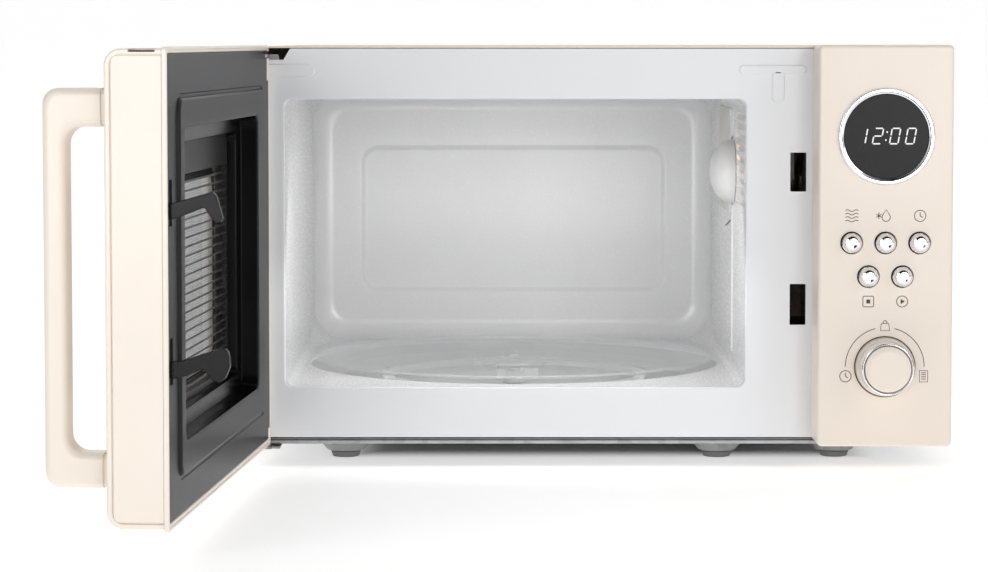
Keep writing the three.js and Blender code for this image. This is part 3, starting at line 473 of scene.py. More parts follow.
def control_panel():
    body = slab(panel_x, panel_z, 3.2, panel_y, edge=(2.2, 0.4), edge_steps=6)
    inside = slab(grow(panel_x, -WALL), grow(panel_z, -WALL), 1.5, (FACE + WALL, 2))
    cutters = [inside, flared_hole(BEZEL_RADIUS - 3, 0.2, FACE, 6, DISPLAY, 128)]
    for name in BUTTONS:
        cutters.append(flared_hole(BUTTON_WELL, 0.35, FACE, 6, middle(name), 72))
    cutters.append(flared_hole(5.2, 0.2, FACE, 6, KNOB, 64))
    return make_object("control_panel_shell", carved(body, cutters), CREAM_SATIN, "chassis",
                       stands_for=["control_panel"], smooth=30)


def knob_groove_shade():
    """A thin dark ring round the knob's foot: painted shade for the groove between knob and panel."""
    inner, outer = KNOB_RADIUS + 0.15, KNOB_RADIUS + 0.9
    profile = [(inner, FACE + 0.3), (inner, FACE - 0.12), (outer, FACE - 0.12), (outer, FACE + 0.3),
               (inner, FACE + 0.3)]
    return make_object("knob_groove_painted_shade", lathe(profile, "y", (KNOB[0], 0, KNOB[1]), 128), PRINT_AND_GROOVE_SHADE, "chassis")


def display_parts():
    outer = BEZEL_RADIUS
    profile = rounded([
        (outer - 4.0, FACE + WALL), (outer - 4.0, FACE - 0.5, 0.25), (outer - 3.0, FACE - 0.9, 0.3),
        (outer - 2.6, FACE - 1.75, 0.35), (outer - 0.9, FACE - 1.75, 0.8), (outer, FACE - 0.1),
        (outer, FACE - 0.02),
        (outer - 3.15, FACE - 0.02), (outer - 3.15, FACE + WALL), (outer - 4.0, FACE + WALL)], 5)
    make_object("display_bezel_ring", lathe(profile, "y", (DISPLAY[0], 0, DISPLAY[1]), 160), CHROME,
                "chassis",
                stands_for=["display_bezel"])
    glass = outer - 4.25
    lens = rounded([(0, FACE - 0.35), (glass, FACE - 0.2, 0.25), (glass, FACE + 1.6), (0, FACE + 1.6)], 4)
    make_object("display_lens_window", lathe(lens, "y", (DISPLAY[0], 0, DISPLAY[1]), 128), LENS, "chassis",
                stands_for=["display_lens"])


DIGIT_HEIGHT = 10.6
DIGIT_WIDTH = 6.2
STROKE = 0.85
SLANT = math.tan(math.radians(10))
SEGMENTS = {"1": "bc", "2": "abged", "0": "abcdef"}


def segment_outline(letter):
    """One bar of a seven-bar digit, in millimetres from the digit's centre."""
    w, h = DIGIT_WIDTH / 2 - STROKE / 2, DIGIT_HEIGHT / 2 - STROKE / 2
    ends = {
        "a": ((-w, h), (w, h)), "b": ((w, 0), (w, h)), "c": ((w, -h), (w, 0)), "d": ((-w, -h), (w, -h)),
        "e": ((-w, -h), (-w, 0)), "f": ((-w, 0), (-w, h)), "g": ((-w, 0), (w, 0)),
    }[letter]
    start, end = (Vector(point) for point in ends)
    along = (end - start).normalized()
    across = Vector((-along.y, along.x)) * STROKE / 2
    start, end = start + along * 0.25, end - along * 0.25
    tip = along * STROKE / 2
    points = [start, start + tip + across, end - tip + across, end, end - tip - across, start + tip - across]
    return [(p.x + p.y * SLANT, p.y) for p in points]


def display_digits():
    meshes = []
    pitch = 10.0
    front = FACE - 0.42
    for character, offset in zip("1200", (-1.54, -0.54, 0.54, 1.54)):
        for letter in SEGMENTS[character]:
            outline = [(DISPLAY[0] + offset * pitch + u, DISPLAY[1] + 0.3 + v)
                       for u, v in segment_outline(letter)]
            meshes.append(prism(outline, (front, front + 0.3), "y"))
    for height in (-2.5, 2.5):
        centre = (DISPLAY[0] + height * SLANT, 0, DISPLAY[1] + 0.3 + height)
        dot = [(0, front), (0.55, front), (0.55, front + 0.3), (0, front + 0.3)]
        meshes.append(lathe(dot, "y", centre, 16))
    make_object("display_time", joined(*meshes), DIGIT_WHITE, "chassis")


def button(name):
    """Chrome button: a short drum, a cone and a shallow dished face."""
    tip, back = span(name, 1)
    radius = half(name, 0)
    profile = rounded([
        (0, tip + 0.25), (3.2, tip, 0.8), (4.6, tip + 0.35, 0.5), (5.0, tip + 1.2, 0.4),
        (5.9, FACE - 2.6, 0.6),
        (radius, FACE - 2.2, 0.4), (radius, FACE + 1.4), (2, FACE + 1.4), (2, back), (0, back)], 5)
    x, z = middle(name)
    make_object(f"{name}_cap", lathe(profile, "y", (x, 0, z), 96), CHROME, name, stands_for=[name])


def knob_parts():
    front = span("knob_body", 1)[0]
    back = span("knob_body", 1)[1]
    seat = FACE - 0.7
    profile = rounded([
        (0, front + 0.15), (11.5, front, 3.0), (14.6, front + 1.1, 1.0), (14.7, seat - 5.2),
        (KNOB_RADIUS - 1.2, seat - 5.2, 0.4),
        (KNOB_RADIUS - 0.2, seat - 4.2, 0.6), (KNOB_RADIUS, seat, 0.3), (3, seat), (3, back), (0, back)], 6)
    make_object("knob_cap", lathe(profile, "y", (KNOB[0], 0, KNOB[1]), 144), CREAM_SATIN, "knob",
                stands_for=["knob_body"])
    low, high = span("knob_ring", 1)
    ring = rounded([
        (15.0, low + 2.4), (15.0, low + 0.9, 0.3), (15.7, low, 0.35), (16.5, low + 0.5, 0.5),
        (17.2, high - 0.6, 0.3),
        (17.1, high), (15.0, high), (15.0, low + 2.4)], 5)
    make_object("knob_chrome_band", lathe(ring, "y", (KNOB[0], 0, KNOB[1]), 144), CHROME, "knob",
                stands_for=["knob_ring"])


def strokes(name, lines, width, material=None):
    """Printed line work on the panel. Each line is (points, closed), points in (x, z)."""
    data = bpy.data.curves.new(name, "CURVE")
    data.dimensions = "3D"
    data.bevel_depth = width / 2
    data.bevel_resolution = 1
    for points, closed in lines:
        spline = data.splines.new("POLY")
        spline.points.add(len(points) - 1)
        for point, (x, z) in zip(spline.points, points):
            point.co = (x, 0, z, 1)
        spline.use_cyclic_u = closed
    carrier = bpy.data.objects.new(name, data)
    bpy.context.scene.collection.objects.link(carrier)
    depsgraph = bpy.context.evaluated_depsgraph_get()
    mesh = bpy.data.meshes.new_from_object(carrier.evaluated_get(depsgraph))
    bpy.data.objects.remove(carrier)
    for vertex in mesh.vertices:
        vertex.co.y = FACE + vertex.co.y * 0.3
    return make_object(name, mesh, material or PRINT_AND_GROOVE_SHADE, "chassis")


def circle(x, z, radius, steps=40):
    return arc((x, z), radius, 0, 360 * (steps - 1) / steps, steps - 1), True


def clock_icon(x, z, radius=3.6):
    hands = [(x, z + radius * 0.6), (x, z), (x + radius * 0.45, z - radius * 0.3)]
    return [circle(x, z, radius), (hands, False)]


def wave_icon(x, z):
    lines = []
    for row in range(4):
        level = z + 3.3 - 2.2 * row
        points = [(x - 4.1 + 8.2 * i / 24, level + 0.55 * math.sin(2 * math.pi * i / 16)) for i in range(25)]
        lines.append((points, False))
    return lines


def thaw_icon(x, z):
    """A snow star and a water drop."""
    lines = []
    for turn in (30, 90, 150):
        direction = Vector((math.cos(math.radians(turn)), math.sin(math.radians(turn)))) * 1.9
        lines.append(([(x - 4.4 - direction.x, z - direction.y), (x - 4.4 + direction.x, z + direction.y)],
                      False))
    drop = [(x + 0.2, z + 4.0)] + arc((x + 0.2, z - 0.9), 2.6, 25, -205, 24)
    return lines + [(drop, True)]


def square_icon(x, z):
    outer = [(x + u, z + v) for u, v in rounded_ring((-3.4, 3.4), (-3.4, 3.4), 0.9, 4)]
    fill = [([(x - 1.2, z + v), (x + 1.2, z + v)], False) for v in (-1.0, -0.5, 0.0, 0.5, 1.0)]
    return [(outer, True)] + fill


def play_icon(x, z):
    fill = [([(x - 1.0, z + v), (x + 1.5 - 1.5 * abs(v), z + v)], False)
            for v in (-1.2, -0.8, -0.4, 0, 0.4, 0.8, 1.2)]
    return [circle(x, z, 3.5)] + fill


def weight_icon(x, z):
    body = [(x - 2.9, z - 3.2), (x + 2.9, z - 3.2), (x + 2.3, z + 1.3), (x - 2.3, z + 1.3)]
    return [(body, True), (arc((x, z + 1.9), 1.2, -30, 210, 14), False)]


def page_icon(x, z):
    sheet = [(x - 2.6, z - 3.6), (x + 2.6, z - 3.6), (x + 2.6, z + 3.6), (x - 2.6, z + 3.6)]
    rows = [([(x - 1.5, z + v), (x + 1.5, z + v)], False) for v in (-1.8, -0.4, 1.0, 2.2)]
    return [(sheet, True)] + rows


def panel_marks():
    upper = [middle(name) for name in BUTTONS[:3]]
    lower = [middle(name) for name in BUTTONS[3:]]
    icon_z = upper[0][1] + 17.2
    lines = wave_icon(upper[0][0], icon_z)
    lines += thaw_icon(upper[1][0], icon_z)
    lines += clock_icon(upper[2][0] + 0.2, icon_z)
    under_z = lower[0][1] - 15.8
    lines += square_icon(lower[0][0], under_z) + play_icon(lower[1][0], under_z)
    lines += weight_icon(KNOB[0], KNOB[1] + 26.2)
    lines += clock_icon(KNOB[0] - 24.9, KNOB[1] - 6.1)
    lines += page_icon(KNOB[0] + 24.7, KNOB[1] - 6.1)
    reach = 25.0
    lines.append((arc(KNOB, reach, 0, 76, 30), False))
    lines.append((arc(KNOB, reach, 104, 180, 30), False))
    strokes("panel_icons", lines, 0.58)


control_panel()
knob_groove_shade()
display_parts()
display_digits()
for button_name in BUTTONS:
    button(button_name)
knob_parts()
panel_marks()

# ------------------------------------------------------------------ front plate and cavity

plate_x, plate_y, plate_z = (span("front_plate", axis) for axis in range(3))
shell_x, shell_y, shell_z = (span("cavity_shell", axis) for axis in range(3))
SHEET = 1.2
MOUTH_X = grow(shell_x, -SHEET)
MOUTH_Z = (51.4, shell_z[1] - SHEET)
BACK_Y = shell_y[1] - SHEET
WELL_Z = shell_z[0] + SHEET
TABLE_X = sum(MOUTH_X) / 2
TABLE_Y = 160.0
WELL_RADIUS = 142.4
SLOT_X = (120.2, 130.5)
SLOTS_Z = ((178.1, 203.3), (91.9, 118.4))


def raised_pad(u, v, corner, height=0.7, axis="y", level=0.0, outward=-1):
    """A pressed rib: a low pad with a soft rim, standing off a sheet."""
    layers = []
    for t in (0, 0.2, 0.4, 0.6, 0.8, 1):
        inset = height * 1.4 * (1 - t)
        rise = height * (1 - t * t * (3 - 2 * t))
        layers.append((grow(u, -inset), grow(v, -inset), max(corner - inset, 0.4), level + outward * rise))
    layers.append((u, v, corner, level - outward * 0.4))
    return stack(layers, axis, 8)


def front_plate():
    sheet = slab(plate_x, plate_z, 2.5, plate_y, edge=(0.4, 0))
    rim = [(1.2 * (1 - math.sin(t)), 1.2 * (1 - math.cos(t))) for t in (0, 0.3, 0.6, 0.9, 1.2, math.pi / 2)]
    mouth = stack([(grow(MOUTH_X, 1.2), grow(MOUTH_Z, 1.2), 6.2, -2)]
                  + [(grow(MOUTH_X, inset), grow(MOUTH_Z, inset), 5 + inset, depth) for inset, depth in rim]
                  + [(MOUTH_X, MOUTH_Z, 5, 4)])
    slots = [slab(SLOT_X, z, 0.5, (-1, 3)) for z in SLOTS_Z]
    notch = prism([(plate_x[0] - 1, 263), (-206, 263), (-199, 275), (plate_x[0] - 1, 275)], (-1, 3), "y")
    behind_panel = block((146, 208), (-1, 3), (40, 250))
    sheet = carved(sheet, [mouth, *slots, notch, behind_panel])
    ribs = [
        raised_pad((-230, -185.7), (251.4, 260.5), 4.4),
        raised_pad((86.7, 130.6), (253.4, 259.8), 3.0),
        raised_pad((107.7, 116.4), (235.3, 256), 4.0),
    ]
    ribs = [carved(rib, [slab(grow(plate_x, -0.5), grow(plate_z, -0.5), 2.5, (-1.5, 1))], "INTERSECT")
            for rib in ribs]
    return make_object("front_plate_sheet", joined(sheet, *ribs), WHITE_PAINT, "chassis",
                       stands_for=["front_plate"], smooth=40)


def lamp_holes():
    """Grid of small round holes in the wall in front of the lamp."""
    near, far = MOUTH_X[1] - 2, MOUTH_X[1] + 3
    outline = [(0, near), (2.3, near), (2.3, far), (0, far)]
    return [lathe(outline, "x", (0, 14.5 + 7.2 * i, 169.5 + 7.0 * j), 10) for i in range(9) for j in range(9)]


def wall_slots():
    """Two upright slots and a slanted one in the right wall."""
    wall = (MOUTH_X[1] - 1, MOUTH_X[1] + 3)
    upright = [block(wall, (200.4, 201.6), z) for z in ((122, 137), (94, 109))]
    return upright + [prism([(112, 154), (160, 146.6), (160, 145.4), (112, 152)], wall, "x")]


def cavity():
    front = shell_y[0]
    fillet = 15.0
    layers = [(shell_x, (MOUTH_Z[0] - SHEET, shell_z[1]), 7.2, shell_y[1]),
              (shell_x, (MOUTH_Z[0] - SHEET, shell_z[1]), 7.2, front),
              (MOUTH_X, MOUTH_Z, 6, front), (MOUTH_X, MOUTH_Z, 6, 235)]
    for t in (0.25, 0.5, 0.75, 1.0):
        layers.append((MOUTH_X, MOUTH_Z, 6 + 18 * t * t, 235 + (BACK_Y - fillet - 235) * t))
    for k in range(1, 9):
        angle = math.pi / 2 * k / 8
        inset = fillet * (1 - math.cos(angle))
        layers.append((grow(MOUTH_X, -inset), grow(MOUTH_Z, -inset), 24 - inset * 0.6,
                       BACK_Y - fillet * (1 - math.sin(angle))))
    rim_depth, rim_width = 2.0, 5.0
    layers[-1] = (*layers[-1][:3], BACK_Y - rim_depth)
    layers[4:-1] = [(*layer[:3], layer[3] - rim_depth if layer[3] > BACK_Y - fillet - 1 else layer[3])
                    for layer in layers[4:-1]]
    for t in (0, 0.2, 0.4, 0.6, 0.8, 1.0):
        pad = -rim_width * t
        layers.append((grow((-171.5, 58.8), pad), grow((85.2, 197.1), pad), 14 + pad,
                       BACK_Y - rim_depth * (1 - t * t * (3 - 2 * t))))
    well = lathe([(0, 44), (WELL_RADIUS, 44), (WELL_RADIUS, 56), (0, 56)], "z", (TABLE_X, TABLE_Y, 0), 160)
    body = carved(stack(layers, steps=10), [well, *wall_slots(), *lamp_holes()])
    floor, under = WELL_Z, shell_z[0]
    pan = rounded([
        (WELL_RADIUS, MOUTH_Z[0]), (WELL_RADIUS - 1.2, MOUTH_Z[0], 1.15), (WELL_RADIUS - 1.8, floor, 3.5),
        (6, floor),
        (6, under), (WELL_RADIUS + 0.8, under), (WELL_RADIUS + 0.8, MOUTH_Z[0] - 1.1),
        (WELL_RADIUS, MOUTH_Z[0] - 1.1),
        (WELL_RADIUS, MOUTH_Z[0])], 7)
    side = raised_pad((104, 222), (62, 230), 5, 1.0, "x", MOUTH_X[1])
    side = carved(side, [lathe([(0, 80), (24, 80), (24, 100), (0, 100)], "x", (0, 100, 187), 48),
                         *wall_slots()])
    return make_object("cavity_liner", joined(body, lathe(pan, "z", (TABLE_X, TABLE_Y, 0), 160), side),
                       CAVITY_PAINT, "chassis", stands_for=["cavity_shell"], smooth=40)


def dome_and_covers():
    low, high = span("stirrer_dome", 0)
    y, z = mid("stirrer_dome", 1), mid("stirrer_dome", 2)
    radius = half("stirrer_dome", 1)
    height = high - low
    profile = [(radius * math.sin(t), low + height * 0.9 * (1 - math.cos(t))) for t in
               [math.pi / 2 * k / 20 for k in range(21)]]
    profile += [(radius, high), (0, high)]
    make_object("stirrer_dome_cover", lathe(profile, "x", (0, y, z), 96), DOME_PLASTIC, "chassis",
                stands_for=["stirrer_dome"])
    x = span("waveguide_cover", 0)
    cover = slab(span("waveguide_cover", 1), span("waveguide_cover", 2), 3, x, edge=(0.3, 0), axis="x")
    make_object("waveguide_cover_sheet", cover, MICA, "chassis", stands_for=["waveguide_cover"])


def lamp():
    low, high = span("lamp_bulb", 0)
    y, z = mid("lamp_bulb", 1), mid("lamp_bulb", 2)
    profile = rounded([(0, low), (8, low + 0.5, 5), (10.4, low + 9, 6), (9, low + 15, 4), (7.4, low + 19, 2),
                       (7.4, high), (0, high)], 6)
    make_object("lamp_bulb_glass", lathe(profile, "x", (0, y, z), 48), LAMPLIGHT, "chassis",
                stands_for=["lamp_bulb"])


# ------------------------------------------------------------------ turntable


def glass_plate():
    bottom, top = span("glass_plate", 2)
    radius = half("glass_plate", 0)
    profile = rounded([
        (0, bottom), (radius - 23, bottom, 12), (radius - 4, top - 3.4, 4), (radius, top - 1.2, 0.7),
        (radius - 1.2, top, 0.7), (radius - 5, top - 0.8, 3), (radius - 22, bottom + 4.5, 14),
        (0, bottom + 4.5)], 8)
    disc = lathe(profile, "z", (TABLE_X, TABLE_Y, 0), 192)
    lugs = []
    for i in range(3):
        angle = math.radians(30 + 120 * i)
        spot = (TABLE_X + 19.5 * math.cos(angle), TABLE_Y + 19.5 * math.sin(angle), 0)
        lugs.append(lathe(rounded([(0, bottom - 0.1), (5, bottom - 0.1, 0.6), (5, bottom + 1.5),
                                   (0, bottom + 1.5)]),
                          "z", spot, 32))
    ring = lathe(rounded([(28, bottom + 4.0), (28, bottom + 4.9, 0.3), (29.4, bottom + 4.9, 0.3),
                          (29.4, bottom + 4.0)]),
                 "z", (TABLE_X, TABLE_Y, 0), 128)
    return make_object("turntable_glass", joined(disc, *lugs, ring), GLASS, "turntable",
                       stands_for=["glass_plate"], smooth=40)


def roller_turn(i, height):
    """Carries a shape that lies along +X out to one of the three rollers."""
    angle = math.radians(90 + 120 * i)
    return Matrix.Translation((TABLE_X, TABLE_Y, height)) @ Matrix.Rotation(angle, 4, "Z")


def roller_parts():
    low, high = span("roller_ring", 2)
    profile = rounded([(86, low), (86, high, 0.8), (93, high, 0.8), (93, low, 0.8), (86, low)], 4)
    axles = [lathe([(0, 91), (1.2, 91), (1.2, 105), (0, 105)], "x", (0, 0, 0), 20) for i in range(3)]
    for i, axle in enumerate(axles):
        axle.transform(roller_turn(i, (low + high) / 2))
    make_object("roller_ring_moulding", joined(lathe(profile, "z", (TABLE_X, TABLE_Y, 0), 128), *axles),
                WHITE_PLASTIC,
                "roller_ring", stands_for=["roller_ring"])
    for i in range(3):
        wheel = rounded([(1.45, 96), (5.4, 96, 0.8), (5.4, 104, 0.8), (1.45, 104), (1.45, 96)], 4)
        mesh = lathe(wheel, "x", (0, 0, 0), 48)
        mesh.transform(roller_turn(i, (low + high) / 2))
        make_object(f"roller_wheel_{i + 1}_tyre", mesh, WHITE_PLASTIC, f"roller_wheel_{i + 1}",
                    stands_for=[f"roller_wheel_{i + 1}"])


front_plate()
cavity()
dome_and_covers()
lamp()
glass_plate()
roller_parts()

# ------------------------------------------------------------------ outer case


def cabinet_cover():
    """Folded sheet with round bends, hollow inside, with slots in the right side."""
    x, y, z = (span("cabinet_cover", axis) for axis in range(3))
    outer = slab(x, (z[0] - 20, z[1]), 4, y, edge=(0.5, 0.5), steps=10)
    inner = slab(grow(x, -SHEET), (z[0] - 40, z[1] - SHEET), 3, (y[0] - 2, y[1] + 2), steps=10)
    below = block(grow(x, 5), (y[0] - 5, y[1] + 5), (z[0] - 30, z[0]))
    vents = [slab((225 + 12 * i, 231 + 12 * i), (70 + 30 * j, 92 + 30 * j), 2.9, (x[1] - 3, x[1] + 2),
                  axis="x")
             for i in range(8) for j in range(3)]
    return make_object("cabinet_wrap", carved(outer, [inner, below, *vents]), CREAM_PAINT, "chassis",
                       stands_for=["cabinet_cover"], smooth=40)


FEET = ("foot_front_left", "foot_front_middle", "foot_front_right", "foot_rear_left", "foot_rear_right")


def base_plate():
    """Floor sheet with a folded front edge and a drawn dish around each foot."""
    x, y, z = (span("base_plate", axis) for axis in range(3))
    top, under = z[1], z[1] - SHEET
    sheet = block(x, y, (under, top))
    centres = [(mid(name, 0), mid(name, 1)) for name in FEET]
    holes = [lathe([(0, under - 2), (24, under - 2), (24, top + 2), (0, top + 2)], "z", (cx, cy, 0), 64)
             for cx, cy in centres]
    sheet = carved(sheet, holes)
    dishes = []
    for cx, cy in centres:
        profile = rounded([(24, top), (22.6, top, 2.0), (12, z[0] + SHEET, 2.4), (0, z[0] + SHEET),
                           (0, z[0]), (12, z[0], 3.0),
                           (22.6, under, 2.0), (24, under), (24, top)], 6)
        dishes.append(lathe(profile, "z", (cx, cy, 0), 64))
    lip = slab(x, (14.2, top), 1.0, (y[0], y[0] + SHEET), edge=(0.4, 0.4))
    return make_object("base_pressing", joined(sheet, lip, *dishes), BASE_METAL, "chassis",
                       stands_for=["base_plate"], smooth=30)


def feet():
    for name in FEET:
        centre = (mid(name, 0), mid(name, 1), 0)
        radius = half(name, 0)
        height = span(name, 2)[1]
        profile = rounded([(0, 0.4), (4, 0.4, 0.5), (4.6, 0, 0.3), (radius - 1.4, 0, 0.9),
                           (radius, height, 0.5), (0, height)], 5)
        make_object(f"{name}_pad", lathe(profile, "z", centre, 64), RUBBER, "chassis", stands_for=[name])


def screw_head(x, y, z, radius=3.6):
    """Pan head with a cross recess, standing off the rear face."""
    profile = rounded([(0, y + 1.9), (radius * 0.7, y + 1.6, 0.8), (radius, y, 0.2), (0, y)], 5)
    head = lathe(profile, "y", (x, 0, z), 32)
    reach, wide, depth = radius * 0.5, 0.45, (y + 0.9, y + 3)
    bars = [block((x - reach, x + reach), depth, (z - wide, z + wide)),
            block((x - wide, x + wide), depth, (z - reach, z + reach))]
    for bar in bars:
        head = carved(head, [bar])
    return head


def rear_panel():
    x, y, z = (span("rear_panel", axis) for axis in range(3))
    sheet = slab(x, z, 2.5, y, edge=(0.3, 0.4))
    through = (y[0] - 2, y[1] + 2)
    vents = [slab((110 + 31 * i, 138 + 31 * i), (133 + 12 * j, 139 + 12 * j), 2.9, through)
             for i in range(3) for j in range(7)]
    vents += [slab((-190 + 12 * i, -183 + 12 * i), (200, 236), 3.4, through) for i in range(7)]
    inlet_x, inlet_z = mid("cord_inlet", 0), mid("cord_inlet", 2)
    vents.append(lathe([(0, through[0]), (8.3, through[0]), (8.3, through[1]), (0, through[1])], "y",
                       (inlet_x, 0, inlet_z), 48))
    sheet = carved(sheet, vents)
    make_object("rear_sheet", sheet, ZINC, "chassis", stands_for=["rear_panel"], smooth=30)
    places = [(-200, 255), (0, 262), (200, 255), (-200, 40), (0, 28), (205, 100), (60, 150), (-60, 150)]
    heads = [screw_head(sx, y[1], sz) for sx, sz in places]
    make_object("rear_screws", joined(*heads), ZINC, "chassis")
    low, high = span("cord_inlet", 1)
    bush = rounded([(4, low), (8, low, 0.5), (8, y[1] + 0.3), (11, y[1] + 0.3, 0.5), (10.6, y[1] + 3, 1),
                    (7.2, high, 1.2),
                    (4, high, 0.5), (4, low)], 5)
    make_object("cord_bush", lathe(bush, "y", (inlet_x, 0, inlet_z), 64), BLACK_PLASTIC, "chassis",
                stands_for=["cord_inlet"])


cabinet_cover()
base_plate()
feet()
rear_panel()

# ------------------------------------------------------------------ door, drawn closed from the hinge pin

LEFT, FREE = -2.5, 351.0
INNER, OUTER = 2.15, -31.65
SKIN = 3.0
BOTTOM, TOP = 16.1, 271.5
FRAME_Z = (14.5, 272.5)
WINDOW_A, WINDOW_Z = (52.0, 300.0), (76.0, 194.5)
HOOK_A = 342.3
ARM_ROOM = ((LEFT - 1, 12), (-8, INNER + 3), (264.2, TOP - SKIN - 0.1))


def door_piece(name, mesh, material, stands_for=(), body="door", smooth=35):
    return make_object(name, mesh, material, body, DOOR, smooth, stands_for)


def side_outline(outer, inner, z, radius, steps=10):
    """Section of the door: flat towards the cabinet, round corners outside."""
    points = [(inner, z[0]), (inner, z[1])]
    points += arc((outer + radius, z[1] - radius), radius, 90, 180, steps)
    points += arc((outer + radius, z[0] + radius), radius, 180, 270, steps)
    return points


def extruded_section(outer, inner, z, radius, layers):
    """The section drawn out along the door's width. Each layer is (a, inset)."""
    rings = []
    for a, inset in layers:
        outline = side_outline(outer + inset, inner, grow(z, -inset), max(radius - inset, 0.3))
        rings.append([(a, b, height) for b, height in outline])
    return loft(rings)


def soft_ends(a, rim):
    steps = [(1 - math.cos(t), 1 - math.sin(t)) for t in (0, 0.4, 0.8, 1.2, math.pi / 2)]
    start = [(a[0] + rim * along, rim * inset) for along, inset in steps]
    end = [(a[1] - rim * along, rim * inset) for along, inset in steps]
    return start + end[::-1]


def door_shell():
    back = INNER - 3.05
    skin = extruded_section(OUTER, back, (BOTTOM, TOP), 9, soft_ends((LEFT, FREE), 1.1))
    hollow = extruded_section(OUTER + SKIN, back + 1, (BOTTOM + SKIN, TOP - SKIN), 6,
                              [(LEFT + 2, 0), (FREE - 0.5, 0), (FREE, -0.4), (FREE + 1, -0.4)])
    flare = [(2.0 * (1 - math.sin(t)), OUTER + 2.0 * (1 - math.cos(t)))
             for t in (0, 0.3, 0.6, 0.9, 1.2, math.pi / 2)]
    window = stack([(grow(WINDOW_A, 2.0), grow(WINDOW_Z, 2.0), 14, OUTER - 1)]
                   + [(grow(WINDOW_A, inset), grow(WINDOW_Z, inset), 12 + inset, b) for inset, b in flare]
                   + [(WINDOW_A, WINDOW_Z, 12, OUTER + SKIN + 1)])
    relief = [block((LEFT - 1, 7.3), (-7, 3), z) for z in ((248, TOP - SKIN), (BOTTOM - 1, 28))]
    notch = slab((FREE - 14, FREE + 3), (OUTER + 13, OUTER + 27.5), 2.5, (TOP - 1.8, TOP + 1), axis="z")
    door_piece("door_case", carved(skin, [hollow, window, notch, *relief]), CREAM, ["door_outer_shell"])
    plug = slab((FREE - 13.6, FREE - 1.5), (OUTER + 13.4, OUTER + 27.1), 2, (TOP - 1.75, TOP - 1.0),
                edge=(0, 0.3),
                axis="z")
    door_piece("door_top_plug", plug, CHARCOAL)


def door_end_cap():
    inset = SKIN + 0.05
    step = [(FREE - 2.8, 0), (FREE - 1.3, 0), (FREE - 1.3, 0.55)]
    face = [(a, 0.55 + rise) for a, rise in soft_ends((FREE - 2.5, FREE - 0.3), 0.6)[5:]]
    cap = extruded_section(OUTER + inset, INNER - 3.1, grow((BOTTOM, TOP), -inset), 4, step + face)
    door_piece("door_end_cover", cap, CREAM, ["door_end_cap"])


def door_frame():
    back = INNER - 3
    plate = slab((LEFT, FREE), FRAME_Z, 2.2, (back, INNER), edge=(0.5, 1.0))
    opening = stack([((0.5, FREE - 1.5), (19.1, 269), 2.0, back - 1),
                     ((0.5, FREE - 1.5), (19.1, 269), 2.0, INNER - 0.5),
                     ((0.1, FREE - 1.1), (18.7, 269.4), 2.2, INNER),
                     ((0.1, FREE - 1.1), (18.7, 269.4), 2.2, INNER + 1)])
    grooves = [block((2, FREE - 4), (INNER - 0.6, INNER + 1), (16.5, 17.0)),
               block((2, FREE - 4), (INNER - 0.6, INNER + 1), (270.5, 270.9))]
    plate = carved(plate, [opening, *grooves])
    bosses = [slab((LEFT, 7), z, 1.2, (-6.5, INNER), edge=(0.6, 0.2)) for z in ((250, 264.2), (16.4, 26))]
    bore = lathe([(0, 10), (1.55, 10), (1.55, 265), (0, 265)], "z", (0, 0, 0), 32)
    body = carved(carved(plate, bosses, "UNION"), [bore, block(*ARM_ROOM)])
    door_piece("door_frame_moulding", body, CREAM, ["door_inner_frame"])


